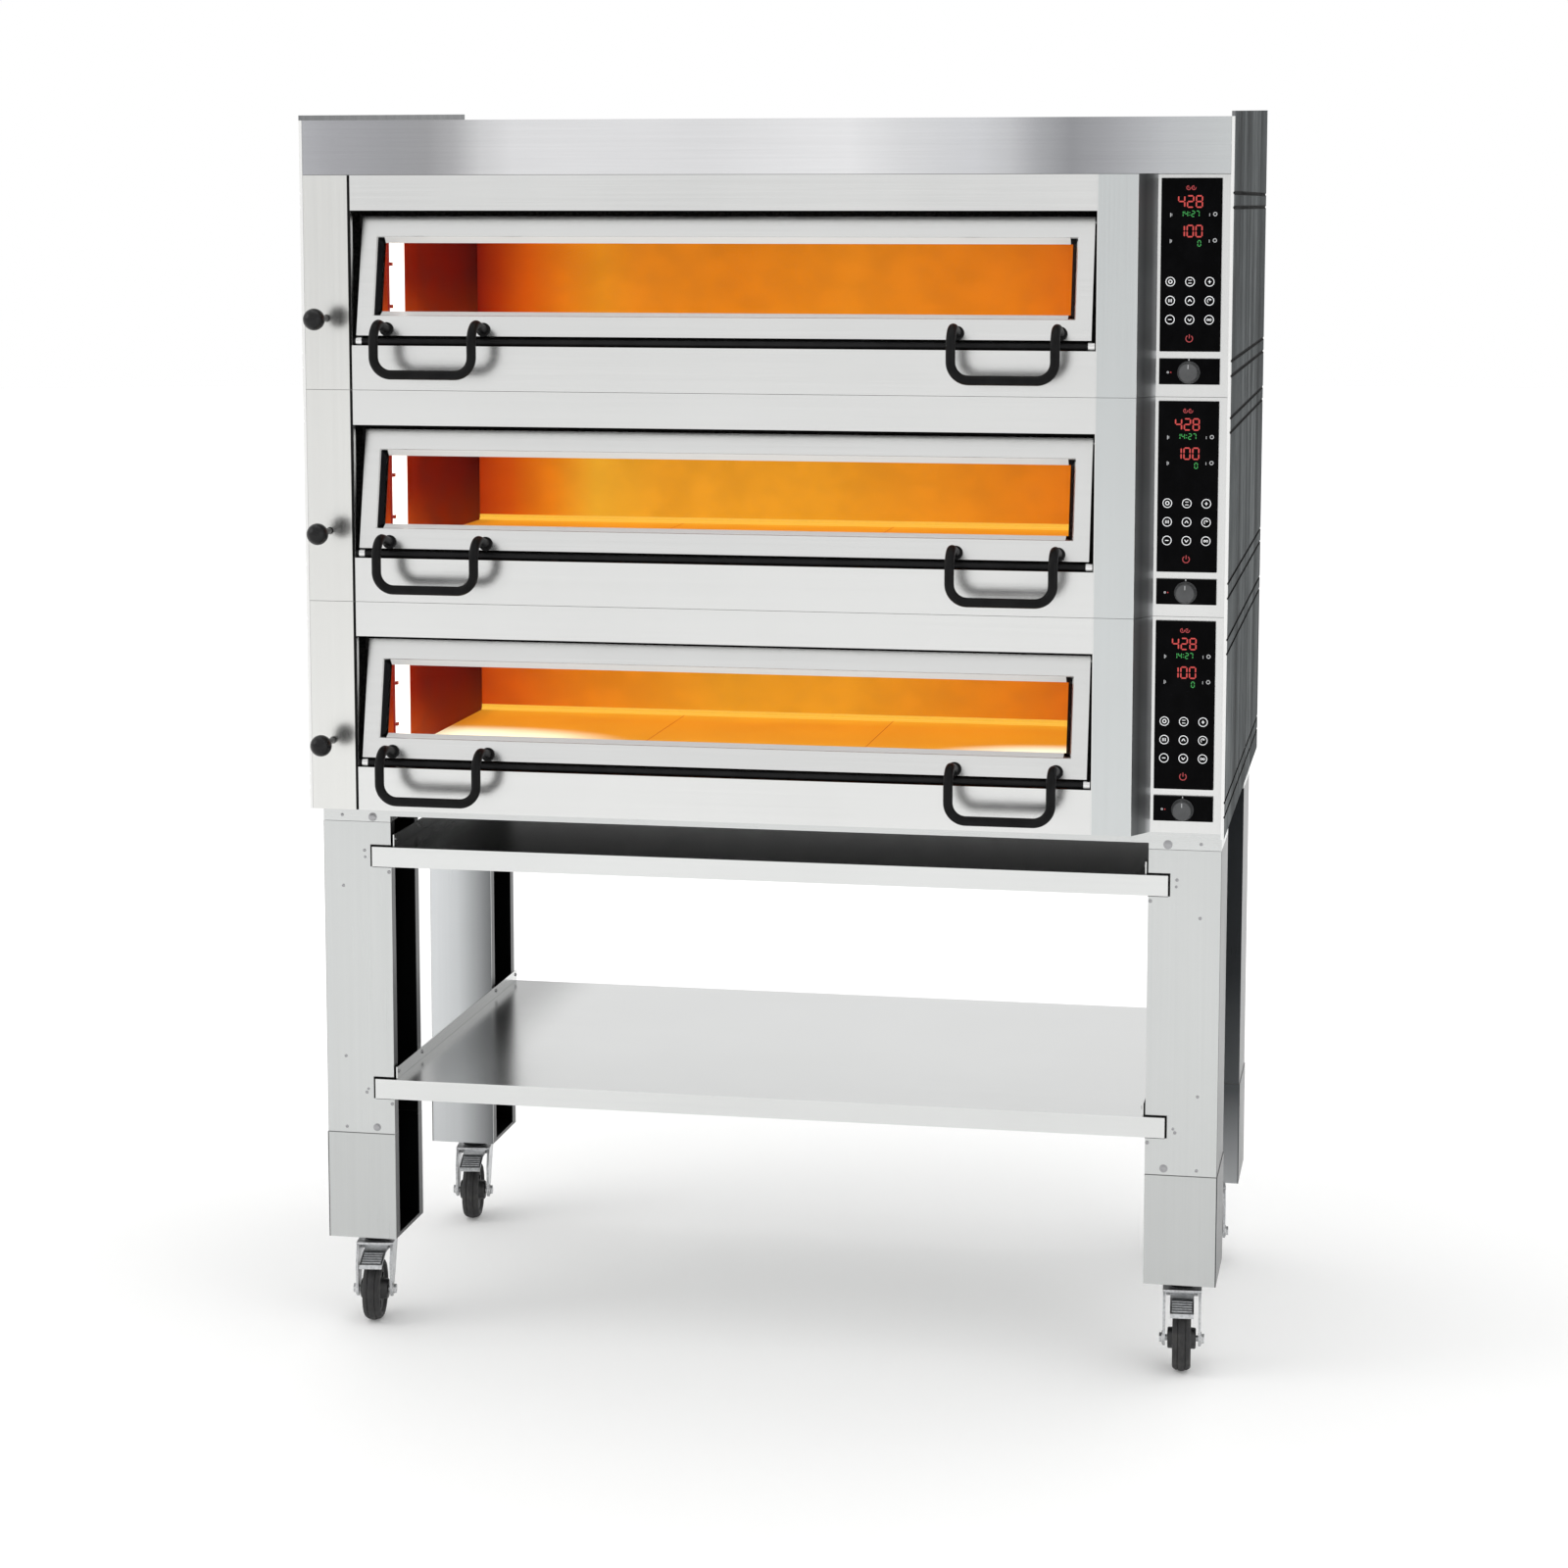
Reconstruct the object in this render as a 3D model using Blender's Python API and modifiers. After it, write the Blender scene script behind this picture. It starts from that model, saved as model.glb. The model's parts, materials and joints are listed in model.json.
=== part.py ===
"""Three-deck electric bakery oven on a wheeled stand.

Frame: origin on the floor under the middle of the oven's box, +X to the
oven's right as a baker faces it, -Y towards the baker, +Z up. Metres.
"""

import math

import bmesh
import bpy
from mathutils import Matrix, Vector

# ---------------------------------------------------------------- dimensions
WIDTH = 1.480          # over the side panels
DEPTH = 1.010          # knob balls to the rear edge of the side panels
HEIGHT = 2.028         # floor to the rear top corner of the side panels
GAP = 0.0003           # clearance between neighbouring pieces

PULL_REACH = 0.080     # damper ball in front of the fascia
FRONT = -DEPTH / 2 + PULL_REACH
BACK = DEPTH / 2

DECKS = 3
DECK_PITCH = 0.341
STAND_TOP = 0.886      # top of the stand, underside of the lowest deck
DECKS_TOP = STAND_TOP + DECKS * DECK_PITCH
HOOD_TOP = 1.995

PANEL_THICK = 0.005
PANEL_FRONT_TOP = 2.003
GROOVE_WIDE = 0.0045
GROOVE_DEEP = 0.0012

FASCIA_THICK = 0.012
OPEN_LEFT, OPEN_RIGHT = -0.657, 0.533      # door opening in the fascia
OPEN_LOW, OPEN_HIGH = 0.071, 0.285         # above each deck's underside
COLUMN_RIGHT = 0.596                       # right column's outer edge
RECESS_LEFT = 0.622                        # where the control recess is flat
RECESS = 0.045                             # control strip behind the fascia
SEAM_LEFT, SEAM_RIGHT = 0.0045, 0.0012     # joints beside the two columns

DOOR_LEFT, DOOR_RIGHT = -0.650, 0.526
DOOR_LOW = 0.087
DOOR_SETBACK = 0.002
DOOR_LENGTH = 0.1938                       # along the slope
DOOR_TILT = math.radians(12.8)
DOOR_THICK = 0.032
RAIL = 0.034                               # door rails, bottom and top
STILE = 0.027
BEVEL = 0.009                              # slope from the rails to the glass
GLASS_THICK = 0.006
GLASS_DEEP = 0.011                         # front of the pane behind the face
HINGE_ALONG, HINGE_DEEP = 0.188, 0.014     # hinge axis in the door's own frame
HINGE_PIN_R = 0.003
DOOR_GAP = 0.003                           # door's back to the chamber's face

CHAMBER_LEFT, CHAMBER_RIGHT = -0.620, 0.500
CHAMBER_BACK = 0.600                       # behind the fascia, with the flue space behind it
HEARTH_TOP = 0.080
HEARTH_THICK = 0.025
CEILING = 0.262
MOUTH_HIGH = 0.250
BLOCK_LEFT, BLOCK_RIGHT = -0.680, 0.575

HANDLE_X = (-0.520, 0.398)
HANDLE_HALF = 0.080                        # centre to each arm's middle
HANDLE_R = 0.0075
HANDLE_REACH = 0.0675                      # rod's middle in front of the fascia
HANDLE_LOW, HANDLE_FOOT = 0.028, 0.097
HANDLE_BEND = 0.028

SILL_BAR_R = 0.005
SILL_BAR_Z = 0.078
SILL_BAR_BACK = 0.008

DAMPER_X, DAMPER_Z = -0.6985, 0.114
DAMPER_BALL_R = 0.018
DAMPER_ROD_R = 0.005

CONTROL_X = (0.627, 0.720)
TOUCH_Z = (0.070, 0.335)
SWITCH_Z = (0.0195, 0.0595)
CONTROL_THICK = 0.0042
KNOB_X, KNOB_Z, KNOB_R, KNOB_TALL = 0.6725, 0.038, 0.0175, 0.017
KNOB_SHAFT_R = 0.003

STAND_X, STAND_Y = 0.734, 0.375            # stand's half width and half depth
LEG_WIDE, LEG_DEEP, LEG_LIP, SHEET = 0.114, 0.155, 0.022, 0.003
LEG_LOW, LEG_SEAM, LEG_TOP = 0.1545, 0.333, 0.858
SLEEVE = 0.0012
BEAM = 0.040
BEAM_LOW = 0.868                           # beams are shallower between the legs
SHELF_X, SHELF_EDGE_X = 0.6165, 0.651
SHELF_SKIN, SHELF_LIP, SHELF_WALL = 0.002, 0.033, 0.020
UPPER_SHELF_TOP, LOWER_SHELF_TOP = 0.817, 0.427

WHEEL_R, WHEEL_WIDE = 0.0525, 0.030
HUB_R, HUB_WIDE, BORE_R, AXLE_R = 0.017, 0.046, 0.0054, 0.005
TRAIL = 0.030
ARM_X, ARM_THICK = 0.0265, 0.004
CROWN_LOW, CROWN_HIGH = 0.127, 0.131
HEAD_R, HEAD_TOP = 0.024, 0.1542
PEDAL_PIVOT_Y, PEDAL_PIVOT_Z = 0.004, 0.115

# ------------------------------------------------------------------- clearing
for old in list(bpy.data.objects):
    bpy.data.objects.remove(old, do_unlink=True)

scene = bpy.context.scene
scene.unit_settings.system = "METRIC"
PARTS = bpy.data.collections.new("deck_oven")
CUTTERS = bpy.data.collections.new("deck_oven_cutters")
scene.collection.children.link(PARTS)
scene.collection.children.link(CUTTERS)


# ------------------------------------------------------------------ materials
def material(name, colour, roughness, metallic=0.0, transmission=0.0):
    made = bpy.data.materials.new(name)
    made.use_nodes = True
    shader = made.node_tree.nodes["Principled BSDF"]
    shader.inputs["Base Color"].default_value = (*colour, 1.0)
    shader.inputs["Roughness"].default_value = roughness
    shader.inputs["Metallic"].default_value = metallic
    shader.inputs["Transmission Weight"].default_value = transmission
    made.diffuse_color = (*colour, 1.0)
    return made


STEEL = material("stainless_steel", (0.74, 0.74, 0.73), 0.34, 1.0)
SIDE_STEEL = material("side_panel_steel", (0.20, 0.21, 0.21), 0.45, 1.0)
ZINC = material("zinc_plate", (0.52, 0.53, 0.54), 0.4, 1.0)
STONE = material("hearth_stone", (0.62, 0.50, 0.36), 0.9)
ENAMEL = material("chamber_lining", (0.55, 0.30, 0.12), 0.5, 0.6)
GLASS = material("oven_glass", (0.9, 0.9, 0.9), 0.05, 0.0, 0.9)
BLACK_COAT = material("black_coat", (0.02, 0.02, 0.022), 0.45)
BLACK_GLASS = material("black_panel", (0.01, 0.01, 0.012), 0.15)
GREY_PLASTIC = material("grey_knob", (0.13, 0.14, 0.14), 0.5)
RUBBER = material("caster_rubber", (0.03, 0.03, 0.03), 0.75)


# -------------------------------------------------------------------- helpers
def adopt(obj, name, paint=None, helper=False):
    obj.name = name
    obj.data.name = name
    for owner in list(obj.users_collection):
        owner.objects.unlink(obj)
    (CUTTERS if helper else PARTS).objects.link(obj)
    if helper:
        obj.hide_render = True
        obj.display_type = "WIRE"
    if paint is not None:
        obj.data.materials.clear()
        obj.data.materials.append(paint)
    return obj


def box(name, low, high, paint=None, frame=None, helper=False, round_by=0.0, segments=2):
    """A block between two corners, given in a frame of its own when it is tilted."""
    low, high = Vector(low), Vector(high)
    bpy.ops.mesh.primitive_cube_add(size=1.0)
    obj = bpy.context.active_object
    obj.data.transform(Matrix.Diagonal((*(high - low), 1.0)))
    middle = Matrix.Translation((low + high) / 2)
    obj.matrix_world = middle if frame is None else frame @ middle
    adopt(obj, name, paint, helper)
    if round_by:
        soften(obj, round_by, segments)
    return obj


def soften(obj, by, segments=1, angle=30.0):
    edge = obj.modifiers.new("rounded_edges", "BEVEL")
    edge.width = by
    edge.segments = segments
    edge.limit_method = "ANGLE"
    edge.angle_limit = math.radians(angle)
    return edge


def rod(name, radius, start, end, sides=16, paint=None, helper=False):
    """A round bar between two points."""
    start, end = Vector(start), Vector(end)
    bpy.ops.mesh.primitive_cylinder_add(
        vertices=sides, radius=radius, depth=(end - start).length
    )
    obj = bpy.context.active_object
    turn = (end - start).to_track_quat("Z", "Y").to_matrix().to_4x4()
    obj.matrix_world = Matrix.Translation((start + end) / 2) @ turn
    adopt(obj, name, paint, helper)
    smooth(obj)
    return obj


def smooth(obj, angle=35.0):
    obj.data.shade_smooth()
    obj.data.set_sharp_from_angle(angle=math.radians(angle))


PLANES = {
    # outline plane: columns are the outline's own x, y and its normal
    "XY": Matrix(((1, 0, 0, 0), (0, 1, 0, 0), (0, 0, 1, 0), (0, 0, 0, 1))),
    "XZ": Matrix(((1, 0, 0, 0), (0, 0, -1, 0), (0, 1, 0, 0), (0, 0, 0, 1))),
    "YZ": Matrix(((0, 0, 1, 0), (1, 0, 0, 0), (0, 1, 0, 0), (0, 0, 0, 1))),
}


def outline(name, points, plane, start, end, paint=None, helper=False):
    """A flat outline drawn in a plane and given thickness from start to end along its normal."""
    curve = bpy.data.curves.new(name, "CURVE")
    curve.dimensions = "2D"
    curve.fill_mode = "BOTH"
    curve.extrude = abs(end - start) / 2
    spline = curve.splines.new("POLY")
    spline.points.add(len(points) - 1)
    for point, (u, v) in zip(spline.points, points):
        point.co = (u, v, 0.0, 1.0)
    spline.use_cyclic_u = True
    drawn = bpy.data.objects.new(name + "_outline", curve)
    scene.collection.objects.link(drawn)
    normal = PLANES[plane].to_3x3() @ Vector((0, 0, 1))
    # a plane's normal may run against its axis, so the middle is set in world terms
    along = Vector([abs(c) for c in normal]) * (start + end) / 2
    drawn.matrix_world = Matrix.Translation(along) @ PLANES[plane]
    return meshed(drawn, name, paint, helper)


def meshed(drawn, name, paint=None, helper=False):
    """A curve's evaluated shape as a mesh object with its caps welded."""
    bpy.context.view_layer.update()
    graph = bpy.context.evaluated_depsgraph_get()
    mesh = bpy.data.meshes.new_from_object(drawn.evaluated_get(graph))
    obj = bpy.data.objects.new(name, mesh)
    obj.matrix_world = drawn.matrix_world.copy()
    bpy.data.objects.remove(drawn, do_unlink=True)
    made = bmesh.new()
    made.from_mesh(mesh)
    bmesh.ops.remove_doubles(made, verts=made.verts, dist=1e-6)
    bmesh.ops.dissolve_degenerate(made, edges=made.edges, dist=1e-7)
    bmesh.ops.recalc_face_normals(made, faces=made.faces)
    made.to_mesh(mesh)
    made.free()
    scene.collection.objects.link(obj)
    return adopt(obj, name, paint, helper)


def boolean(obj, other, operation):
    step = obj.modifiers.new(other.name, "BOOLEAN")
    step.operation = operation
    step.solver = "EXACT"
    step.object = other
    return obj


def cut(obj, *cutters):
    for cutter in cutters:
        boolean(obj, cutter, "DIFFERENCE")
    return obj


def fuse(obj, *others):
    for other in others:
        boolean(obj, other, "UNION")
    return obj


def turned(name, profile, steps, paint, helper=False):
    """A lathe piece about its own Z. The profile runs down its outer side from top to bottom."""
    mesh = bpy.data.meshes.new(name)
    closed_ring = profile[0] == profile[-1]
    points = profile[:-1] if closed_ring else profile
    edges = [(i, i + 1) for i in range(len(points) - 1)]
    if closed_ring:
        edges.append((len(points) - 1, 0))
    mesh.from_pydata([(r, 0.0, z) for r, z in points], edges, [])
    obj = bpy.data.objects.new(name, mesh)
    scene.collection.objects.link(obj)
    adopt(obj, name, paint, helper)
    spin = obj.modifiers.new("lathe", "SCREW")
    spin.angle = math.tau
    spin.steps = steps
    spin.render_steps = steps
    spin.use_merge_vertices = True
    spin.merge_threshold = 0.00002
    spin.use_smooth_shade = True
    return obj


def filleted(corners, radius, segments):
    """A 3D path through corners, each inner one rounded by an arc."""
    path = [Vector(corners[0])]
    for before, corner, after in zip(corners, corners[1:], corners[2:]):
        before, corner, after = Vector(before), Vector(corner), Vector(after)
        inward, outward = (before - corner).normalized(), (after - corner).normalized()
        half = inward.angle(outward) / 2
        reach = radius / math.tan(half)
        centre = corner + (inward + outward).normalized() * radius / math.sin(half)
        start, end = corner + inward * reach, corner + outward * reach
        first, last = start - centre, end - centre
        sweep = first.angle(last)
        for i in range(segments + 1):
            t = i / segments
            path.append(
                centre
                + first * math.sin((1 - t) * sweep) / math.sin(sweep)
                + last * math.sin(t * sweep) / math.sin(sweep)
            )
    path.append(Vector(corners[-1]))
    return path


def tube(name, path, radius, paint, resolution=2):
    curve = bpy.data.curves.new(name, "CURVE")
    curve.dimensions = "3D"
    curve.bevel_depth = radius
    curve.bevel_resolution = resolution
    curve.use_fill_caps = True
    curve.twist_mode = "MINIMUM"
    spline = curve.splines.new("POLY")
    spline.points.add(len(path) - 1)
    origin = path[0]
    for point, place in zip(spline.points, path):
        point.co = (*(place - origin), 1.0)
    obj = bpy.data.objects.new(name, curve)
    obj.location = origin
    scene.collection.objects.link(obj)
    return adopt(obj, name, paint)


def pivot(name, location, turn=0.0, parent=None):
    empty = bpy.data.objects.new(name, None)
    empty.empty_display_size = 0.05
    empty.matrix_world = Matrix.Translation(location) @ Matrix.Rotation(turn, 4, "Z")
    PARTS.objects.link(empty)
    if parent is not None:
        hang(empty, parent)
    return empty


def hang(obj, parent):
    """Parents obj and keeps it where it is."""
    bpy.context.view_layer.update()
    world = obj.matrix_world.copy()
    obj.parent = parent
    obj.matrix_parent_inverse = parent.matrix_world.inverted()
    obj.matrix_world = world


def set_origin(obj, place):
    """Moves a mesh object's origin without moving its shape."""
    bpy.context.view_layer.update()
    shift = obj.matrix_world.inverted() @ Vector(place)
    obj.data.transform(Matrix.Translation(-shift))
    obj.matrix_world = obj.matrix_world @ Matrix.Translation(shift)


# --------------------------------------------------------------- outer casing
def side_panel(name, sign):
    """Sheet with pairs of pressed lines along each deck and a top edge that climbs to the rear."""
    outer, inner = WIDTH / 2, WIDTH / 2 - PANEL_THICK
    points = [(inner, STAND_TOP), (outer, STAND_TOP)]
    for deck in range(DECKS):
        low = STAND_TOP + deck * DECK_PITCH
        for offset in (0.035, 0.058, DECK_PITCH - 0.051, DECK_PITCH - 0.029):
            z = low + offset
            points += [
                (outer, z - GROOVE_WIDE / 2),
                (outer - GROOVE_DEEP, z - GROOVE_WIDE / 4),
                (outer - GROOVE_DEEP, z + GROOVE_WIDE / 4),
                (outer, z + GROOVE_WIDE / 2),
            ]
    points += [(outer, HEIGHT), (inner, HEIGHT)]
    points = [(sign * x, z) for x, z in points]
    obj = outline(name, points, "XZ", FRONT, BACK, SIDE_STEEL)
    world = obj.matrix_world
    for vertex in obj.data.vertices:
        place = world @ vertex.co
        if place.z > HEIGHT - 1e-4 and place.y < 0:
            vertex.co = world.inverted() @ Vector((place.x, place.y, PANEL_FRONT_TOP))
    return obj


side_panel("side_panel_left", -1)
side_panel("side_panel_right", 1)
INSIDE = WIDTH / 2 - PANEL_THICK - GAP

hood_low = DECKS_TOP + GAP
outline(
    "hood",
    [
        (FRONT, hood_low),
        (FRONT + 0.060, hood_low),
        (FRONT + 0.060, hood_low + 0.0025),
        (FRONT + 0.0025, hood_low + 0.0025),
        (FRONT + 0.0025, HOOD_TOP - 0.0025),
        (FRONT + 0.0675, HOOD_TOP - 0.0025),
        (FRONT + 0.0675, 1.958),
        (FRONT + 0.0700, 1.958),
        (FRONT + 0.0700, HOOD_TOP),
        (FRONT, HOOD_TOP),
    ],
    "YZ",
    -INSIDE,
    INSIDE,
    STEEL,
)

BACK_PANEL_Y = BACK - 0.020
box("roof_panel", (-INSIDE, FRONT + 0.071, 1.952), (INSIDE, BACK_PANEL_Y + 0.003, 1.955), STEEL)
box(
    "back_panel",
    (-INSIDE, BACK_PANEL_Y, STAND_TOP + GAP),
    (INSIDE, BACK_PANEL_Y + 0.003, 1.952 - GAP),
    STEEL,
)


# ---------------------------------------------------------------------- decks
SLOPE = math.tan(DOOR_TILT)


def deck(number, low):
    tag = f"deck_{number}_"

    # front frame: left column, fascias and right column in one folded sheet
    front = outline(
        tag + "front_frame",
        [
            (-INSIDE, FRONT),
            (COLUMN_RIGHT, FRONT),
            (RECESS_LEFT, FRONT + RECESS),
            (INSIDE, FRONT + RECESS),
            (INSIDE, FRONT + RECESS + FASCIA_THICK),
            (RECESS_LEFT - 0.0068, FRONT + RECESS + FASCIA_THICK),
            (COLUMN_RIGHT - 0.0068, FRONT + FASCIA_THICK),
            (-INSIDE, FRONT + FASCIA_THICK),
        ],
        "XY",
        low + GAP,
        low + DECK_PITCH - GAP,
        STEEL,
    )
    cut(
        front,
        box(
            tag + "opening",
            (OPEN_LEFT, FRONT - 0.02, low + OPEN_LOW),
            (OPEN_RIGHT, FRONT + 0.03, low + OPEN_HIGH),
            helper=True,
        ),
    )
    for side, a, b, deep in (
        ("left", OPEN_LEFT - SEAM_LEFT, OPEN_LEFT, 0.0025),
        ("right", OPEN_RIGHT, OPEN_RIGHT + SEAM_RIGHT, 0.0010),
    ):
        cut(
            front,
            box(
                tag + f"seam_{side}",
                (a, FRONT - 0.01, low - 0.01),
                (b, FRONT + deep, low + DECK_PITCH + 0.01),
                helper=True,
            ),
        )
    cut(
        front,
        rod(
            tag + "damper_hole",
            DAMPER_ROD_R + 0.001,
            (DAMPER_X, FRONT - 0.01, low + DAMPER_Z),
            (DAMPER_X, FRONT + 0.02, low + DAMPER_Z),
            helper=True,
        ),
        rod(
            tag + "shaft_hole",
            KNOB_SHAFT_R + 0.0006,
            (KNOB_X, FRONT + RECESS - 0.01, low + KNOB_Z),
            (KNOB_X, FRONT + RECESS + 0.03, low + KNOB_Z),
            sides=12,
            helper=True,
        ),
    )

    # the door's own frame: x across, y through its thickness, z up its slope
    tilt = Matrix.Translation((0, FRONT + DOOR_SETBACK, low + DOOR_LOW)) @ Matrix.Rotation(
        -DOOR_TILT, 4, "X"
    )
    hinge = tilt @ Vector(((DOOR_LEFT + DOOR_RIGHT) / 2, HINGE_DEEP, HINGE_ALONG))

    # baking chamber: insulated casing, its face parallel to the door's back
    face = tilt @ Vector((0, DOOR_THICK + DOOR_GAP, 0))

    def face_y(z):
        return face.y + (z - face.z) * SLOPE

    inner_front = FRONT + FASCIA_THICK + 0.001
    ledge, brow = low + 0.060, low + 0.290
    rear = FRONT + 0.870
    block = outline(
        tag + "baking_chamber",
        [
            (inner_front, low + 0.004),
            (rear, low + 0.004),
            (rear, low + 0.336),
            (face_y(brow), low + 0.336),
            (face_y(brow), brow),
            (face_y(ledge), ledge),
            (inner_front, ledge),
        ],
        "YZ",
        BLOCK_LEFT,
        BLOCK_RIGHT,
        ENAMEL,
    )
    cut(
        block,
        box(
            tag + "cavity",
            (CHAMBER_LEFT, FRONT + 0.060, low + HEARTH_TOP - HEARTH_THICK - GAP),
            (CHAMBER_RIGHT, FRONT + CHAMBER_BACK, low + CEILING),
            helper=True,
        ),
        box(
            tag + "mouth",
            (CHAMBER_LEFT, FRONT + 0.015, low + HEARTH_TOP + GAP),
            (CHAMBER_RIGHT, FRONT + 0.100, low + MOUTH_HIGH),
            helper=True,
        ),
    )
    for side, x in (("left", OPEN_LEFT + 0.001), ("right", OPEN_RIGHT - 0.005)):
        fuse(
            block,
            box(
                tag + f"hinge_ear_{side}",
                (x, hinge.y - 0.010, hinge.z - 0.010),
                (x + 0.004, face_y(hinge.z) + 0.010, hinge.z + 0.010),
                helper=True,
            ),
        )
        cut(
            block,
            rod(
                tag + f"hinge_hole_{side}",
                HINGE_PIN_R + 0.0004,
                (x - 0.010, hinge.y, hinge.z),
                (x + 0.014, hinge.y, hinge.z),
                sides=12,
                helper=True,
            ),
        )

    box(
        tag + "hearth_stone",
        (CHAMBER_LEFT + 0.002, FRONT + 0.062, low + HEARTH_TOP - HEARTH_THICK),
        (CHAMBER_RIGHT - 0.002, FRONT + CHAMBER_BACK - 0.002, low + HEARTH_TOP),
        STONE,
    )

    # door frame: a thick ring, sloping in to the glass at the front, rebated at the back
    door = box(
        tag + "door_frame",
        (DOOR_LEFT, 0, 0),
        (DOOR_RIGHT, DOOR_THICK, DOOR_LENGTH),
        STEEL,
        frame=tilt,
    )
    x0, x1 = DOOR_LEFT + STILE, DOOR_RIGHT - STILE
    z0, z1 = RAIL, DOOR_LENGTH - RAIL
    slope = box(
        tag + "window_slope",
        (x0 - 0.010, -0.010, z0 - 0.010),
        (x1 + 0.010, GLASS_DEEP + 0.002, z1 + 0.010),
        frame=tilt,
        helper=True,
    )
    # narrow the cutter's inner end, so that it leaves four sloping sides
    half = Vector(((x1 - x0) / 2 + 0.010, 0, (z1 - z0) / 2 + 0.010))
    for vertex in slope.data.vertices:
        if vertex.co.y > 0:
            vertex.co.x *= (half.x - 0.010 - BEVEL) / half.x
            vertex.co.z *= (half.z - 0.010 - BEVEL) / half.z
    rebate = box(
        tag + "glass_rebate",
        (x0 + 0.001, GLASS_DEEP, z0 + 0.001),
        (x1 - 0.001, DOOR_THICK + 0.01, z1 - 0.001),
        frame=tilt,
        helper=True,
    )
    cut(door, slope, rebate)
    for side, a, b in (
        ("left", DOOR_LEFT - 0.0063, DOOR_LEFT + 0.004),
        ("right", DOOR_RIGHT - 0.004, DOOR_RIGHT + 0.0063),
    ):
        fuse(
            door,
            rod(
                tag + f"hinge_pin_{side}",
                HINGE_PIN_R,
                (a, hinge.y, hinge.z),
                (b, hinge.y, hinge.z),
                sides=12,
                helper=True,
            ),
        )
    glass = box(
        tag + "door_glass",
        (x0 + 0.0015, GLASS_DEEP + GAP, z0 + 0.0015),
        (x1 - 0.0015, GLASS_DEEP + GAP + GLASS_THICK, z1 - 0.0015),
        GLASS,
        frame=tilt,
    )

    swing = pivot(tag + "door_pivot", hinge)
    hang(door, swing)
    hang(glass, swing)

    # tubular handles hanging from the bottom rail
    outward = (tilt.to_3x3() @ Vector((0, -1, 0))).normalized()
    foot_y = FRONT + DOOR_SETBACK + (HANDLE_FOOT - DOOR_LOW) * SLOPE
    reach_y = FRONT - HANDLE_REACH
    for side, x in zip(("left", "right"), HANDLE_X):
        def foot(at):
            return Vector((at, foot_y, low + HANDLE_FOOT)) + outward * GAP

        def shoulder(at):
            start = foot(at)
            return start + outward * ((start.y - reach_y) / -outward.y)

        a, b = x - HANDLE_HALF, x + HANDLE_HALF
        path = filleted(
            [
                foot(a),
                shoulder(a),
                Vector((a, reach_y, low + HANDLE_LOW)),
                Vector((b, reach_y, low + HANDLE_LOW)),
                shoulder(b),
                foot(b),
            ],
            HANDLE_BEND,
            5,
        )
        hang(tube(tag + f"door_handle_{side}", path, HANDLE_R, BLACK_COAT), swing)

    rod(
        tag + "sill_bar",
        SILL_BAR_R,
        (OPEN_LEFT + GAP, FRONT + SILL_BAR_BACK, low + SILL_BAR_Z),
        (OPEN_RIGHT - GAP, FRONT + SILL_BAR_BACK, low + SILL_BAR_Z),
        paint=BLACK_COAT,
    )

    # damper pull: a ball on a rod that slides through the left column
    ball = []
    arc = 8
    neck = math.asin(DAMPER_ROD_R / DAMPER_BALL_R)
    for i in range(arc + 1):
        angle = (math.pi - neck) * i / arc
        ball.append((DAMPER_BALL_R * math.sin(angle), DAMPER_BALL_R * math.cos(angle)))
    ball[0] = (0.0, DAMPER_BALL_R)
    rod_end = -(PULL_REACH - DAMPER_BALL_R) - 0.070
    ball += [(DAMPER_ROD_R, rod_end), (0.0, rod_end)]
    damper = turned(tag + "damper_pull", ball, 16, BLACK_COAT)
    damper.matrix_world = Matrix.Translation(
        (DAMPER_X, FRONT - PULL_REACH + DAMPER_BALL_R, low + DAMPER_Z)
    ) @ Matrix.Rotation(math.pi / 2, 4, "X")

    # controls in the recess
    strip = FRONT + RECESS
    box(
        tag + "touch_panel",
        (CONTROL_X[0], strip - CONTROL_THICK, low + TOUCH_Z[0]),
        (CONTROL_X[1], strip - GAP, low + TOUCH_Z[1]),
        BLACK_GLASS,
        round_by=0.0008,
        segments=1,
    )
    switch = box(
        tag + "switch_panel",
        (CONTROL_X[0], strip - CONTROL_THICK, low + SWITCH_Z[0]),
        (CONTROL_X[1], strip - GAP, low + SWITCH_Z[1]),
        BLACK_GLASS,
    )
    cut(
        switch,
        rod(
            tag + "switch_hole",
            KNOB_SHAFT_R + 0.0006,
            (KNOB_X, strip - 0.02, low + KNOB_Z),
            (KNOB_X, strip + 0.02, low + KNOB_Z),
            sides=12,
            helper=True,
        ),
    )
    knob_back = strip - CONTROL_THICK - GAP
    profile = [
        (0.0, KNOB_TALL),
        (KNOB_R - 0.0040, KNOB_TALL),
        (KNOB_R - 0.0025, KNOB_TALL - 0.0015),
        (KNOB_R - 0.0015, 0.003),
        (KNOB_R, 0.0022),
        (KNOB_R, 0.0),
        (KNOB_SHAFT_R, 0.0),
        (KNOB_SHAFT_R, -0.024),
        (0.0, -0.024),
    ]
    knob = turned(tag + "rotary_knob", profile, 20, GREY_PLASTIC)
    knob.matrix_world = Matrix.Translation((KNOB_X, knob_back, low + KNOB_Z)) @ Matrix.Rotation(
        math.pi / 2, 4, "X"
    )


for index in range(DECKS):
    deck(DECKS - index, STAND_TOP + index * DECK_PITCH)


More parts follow.
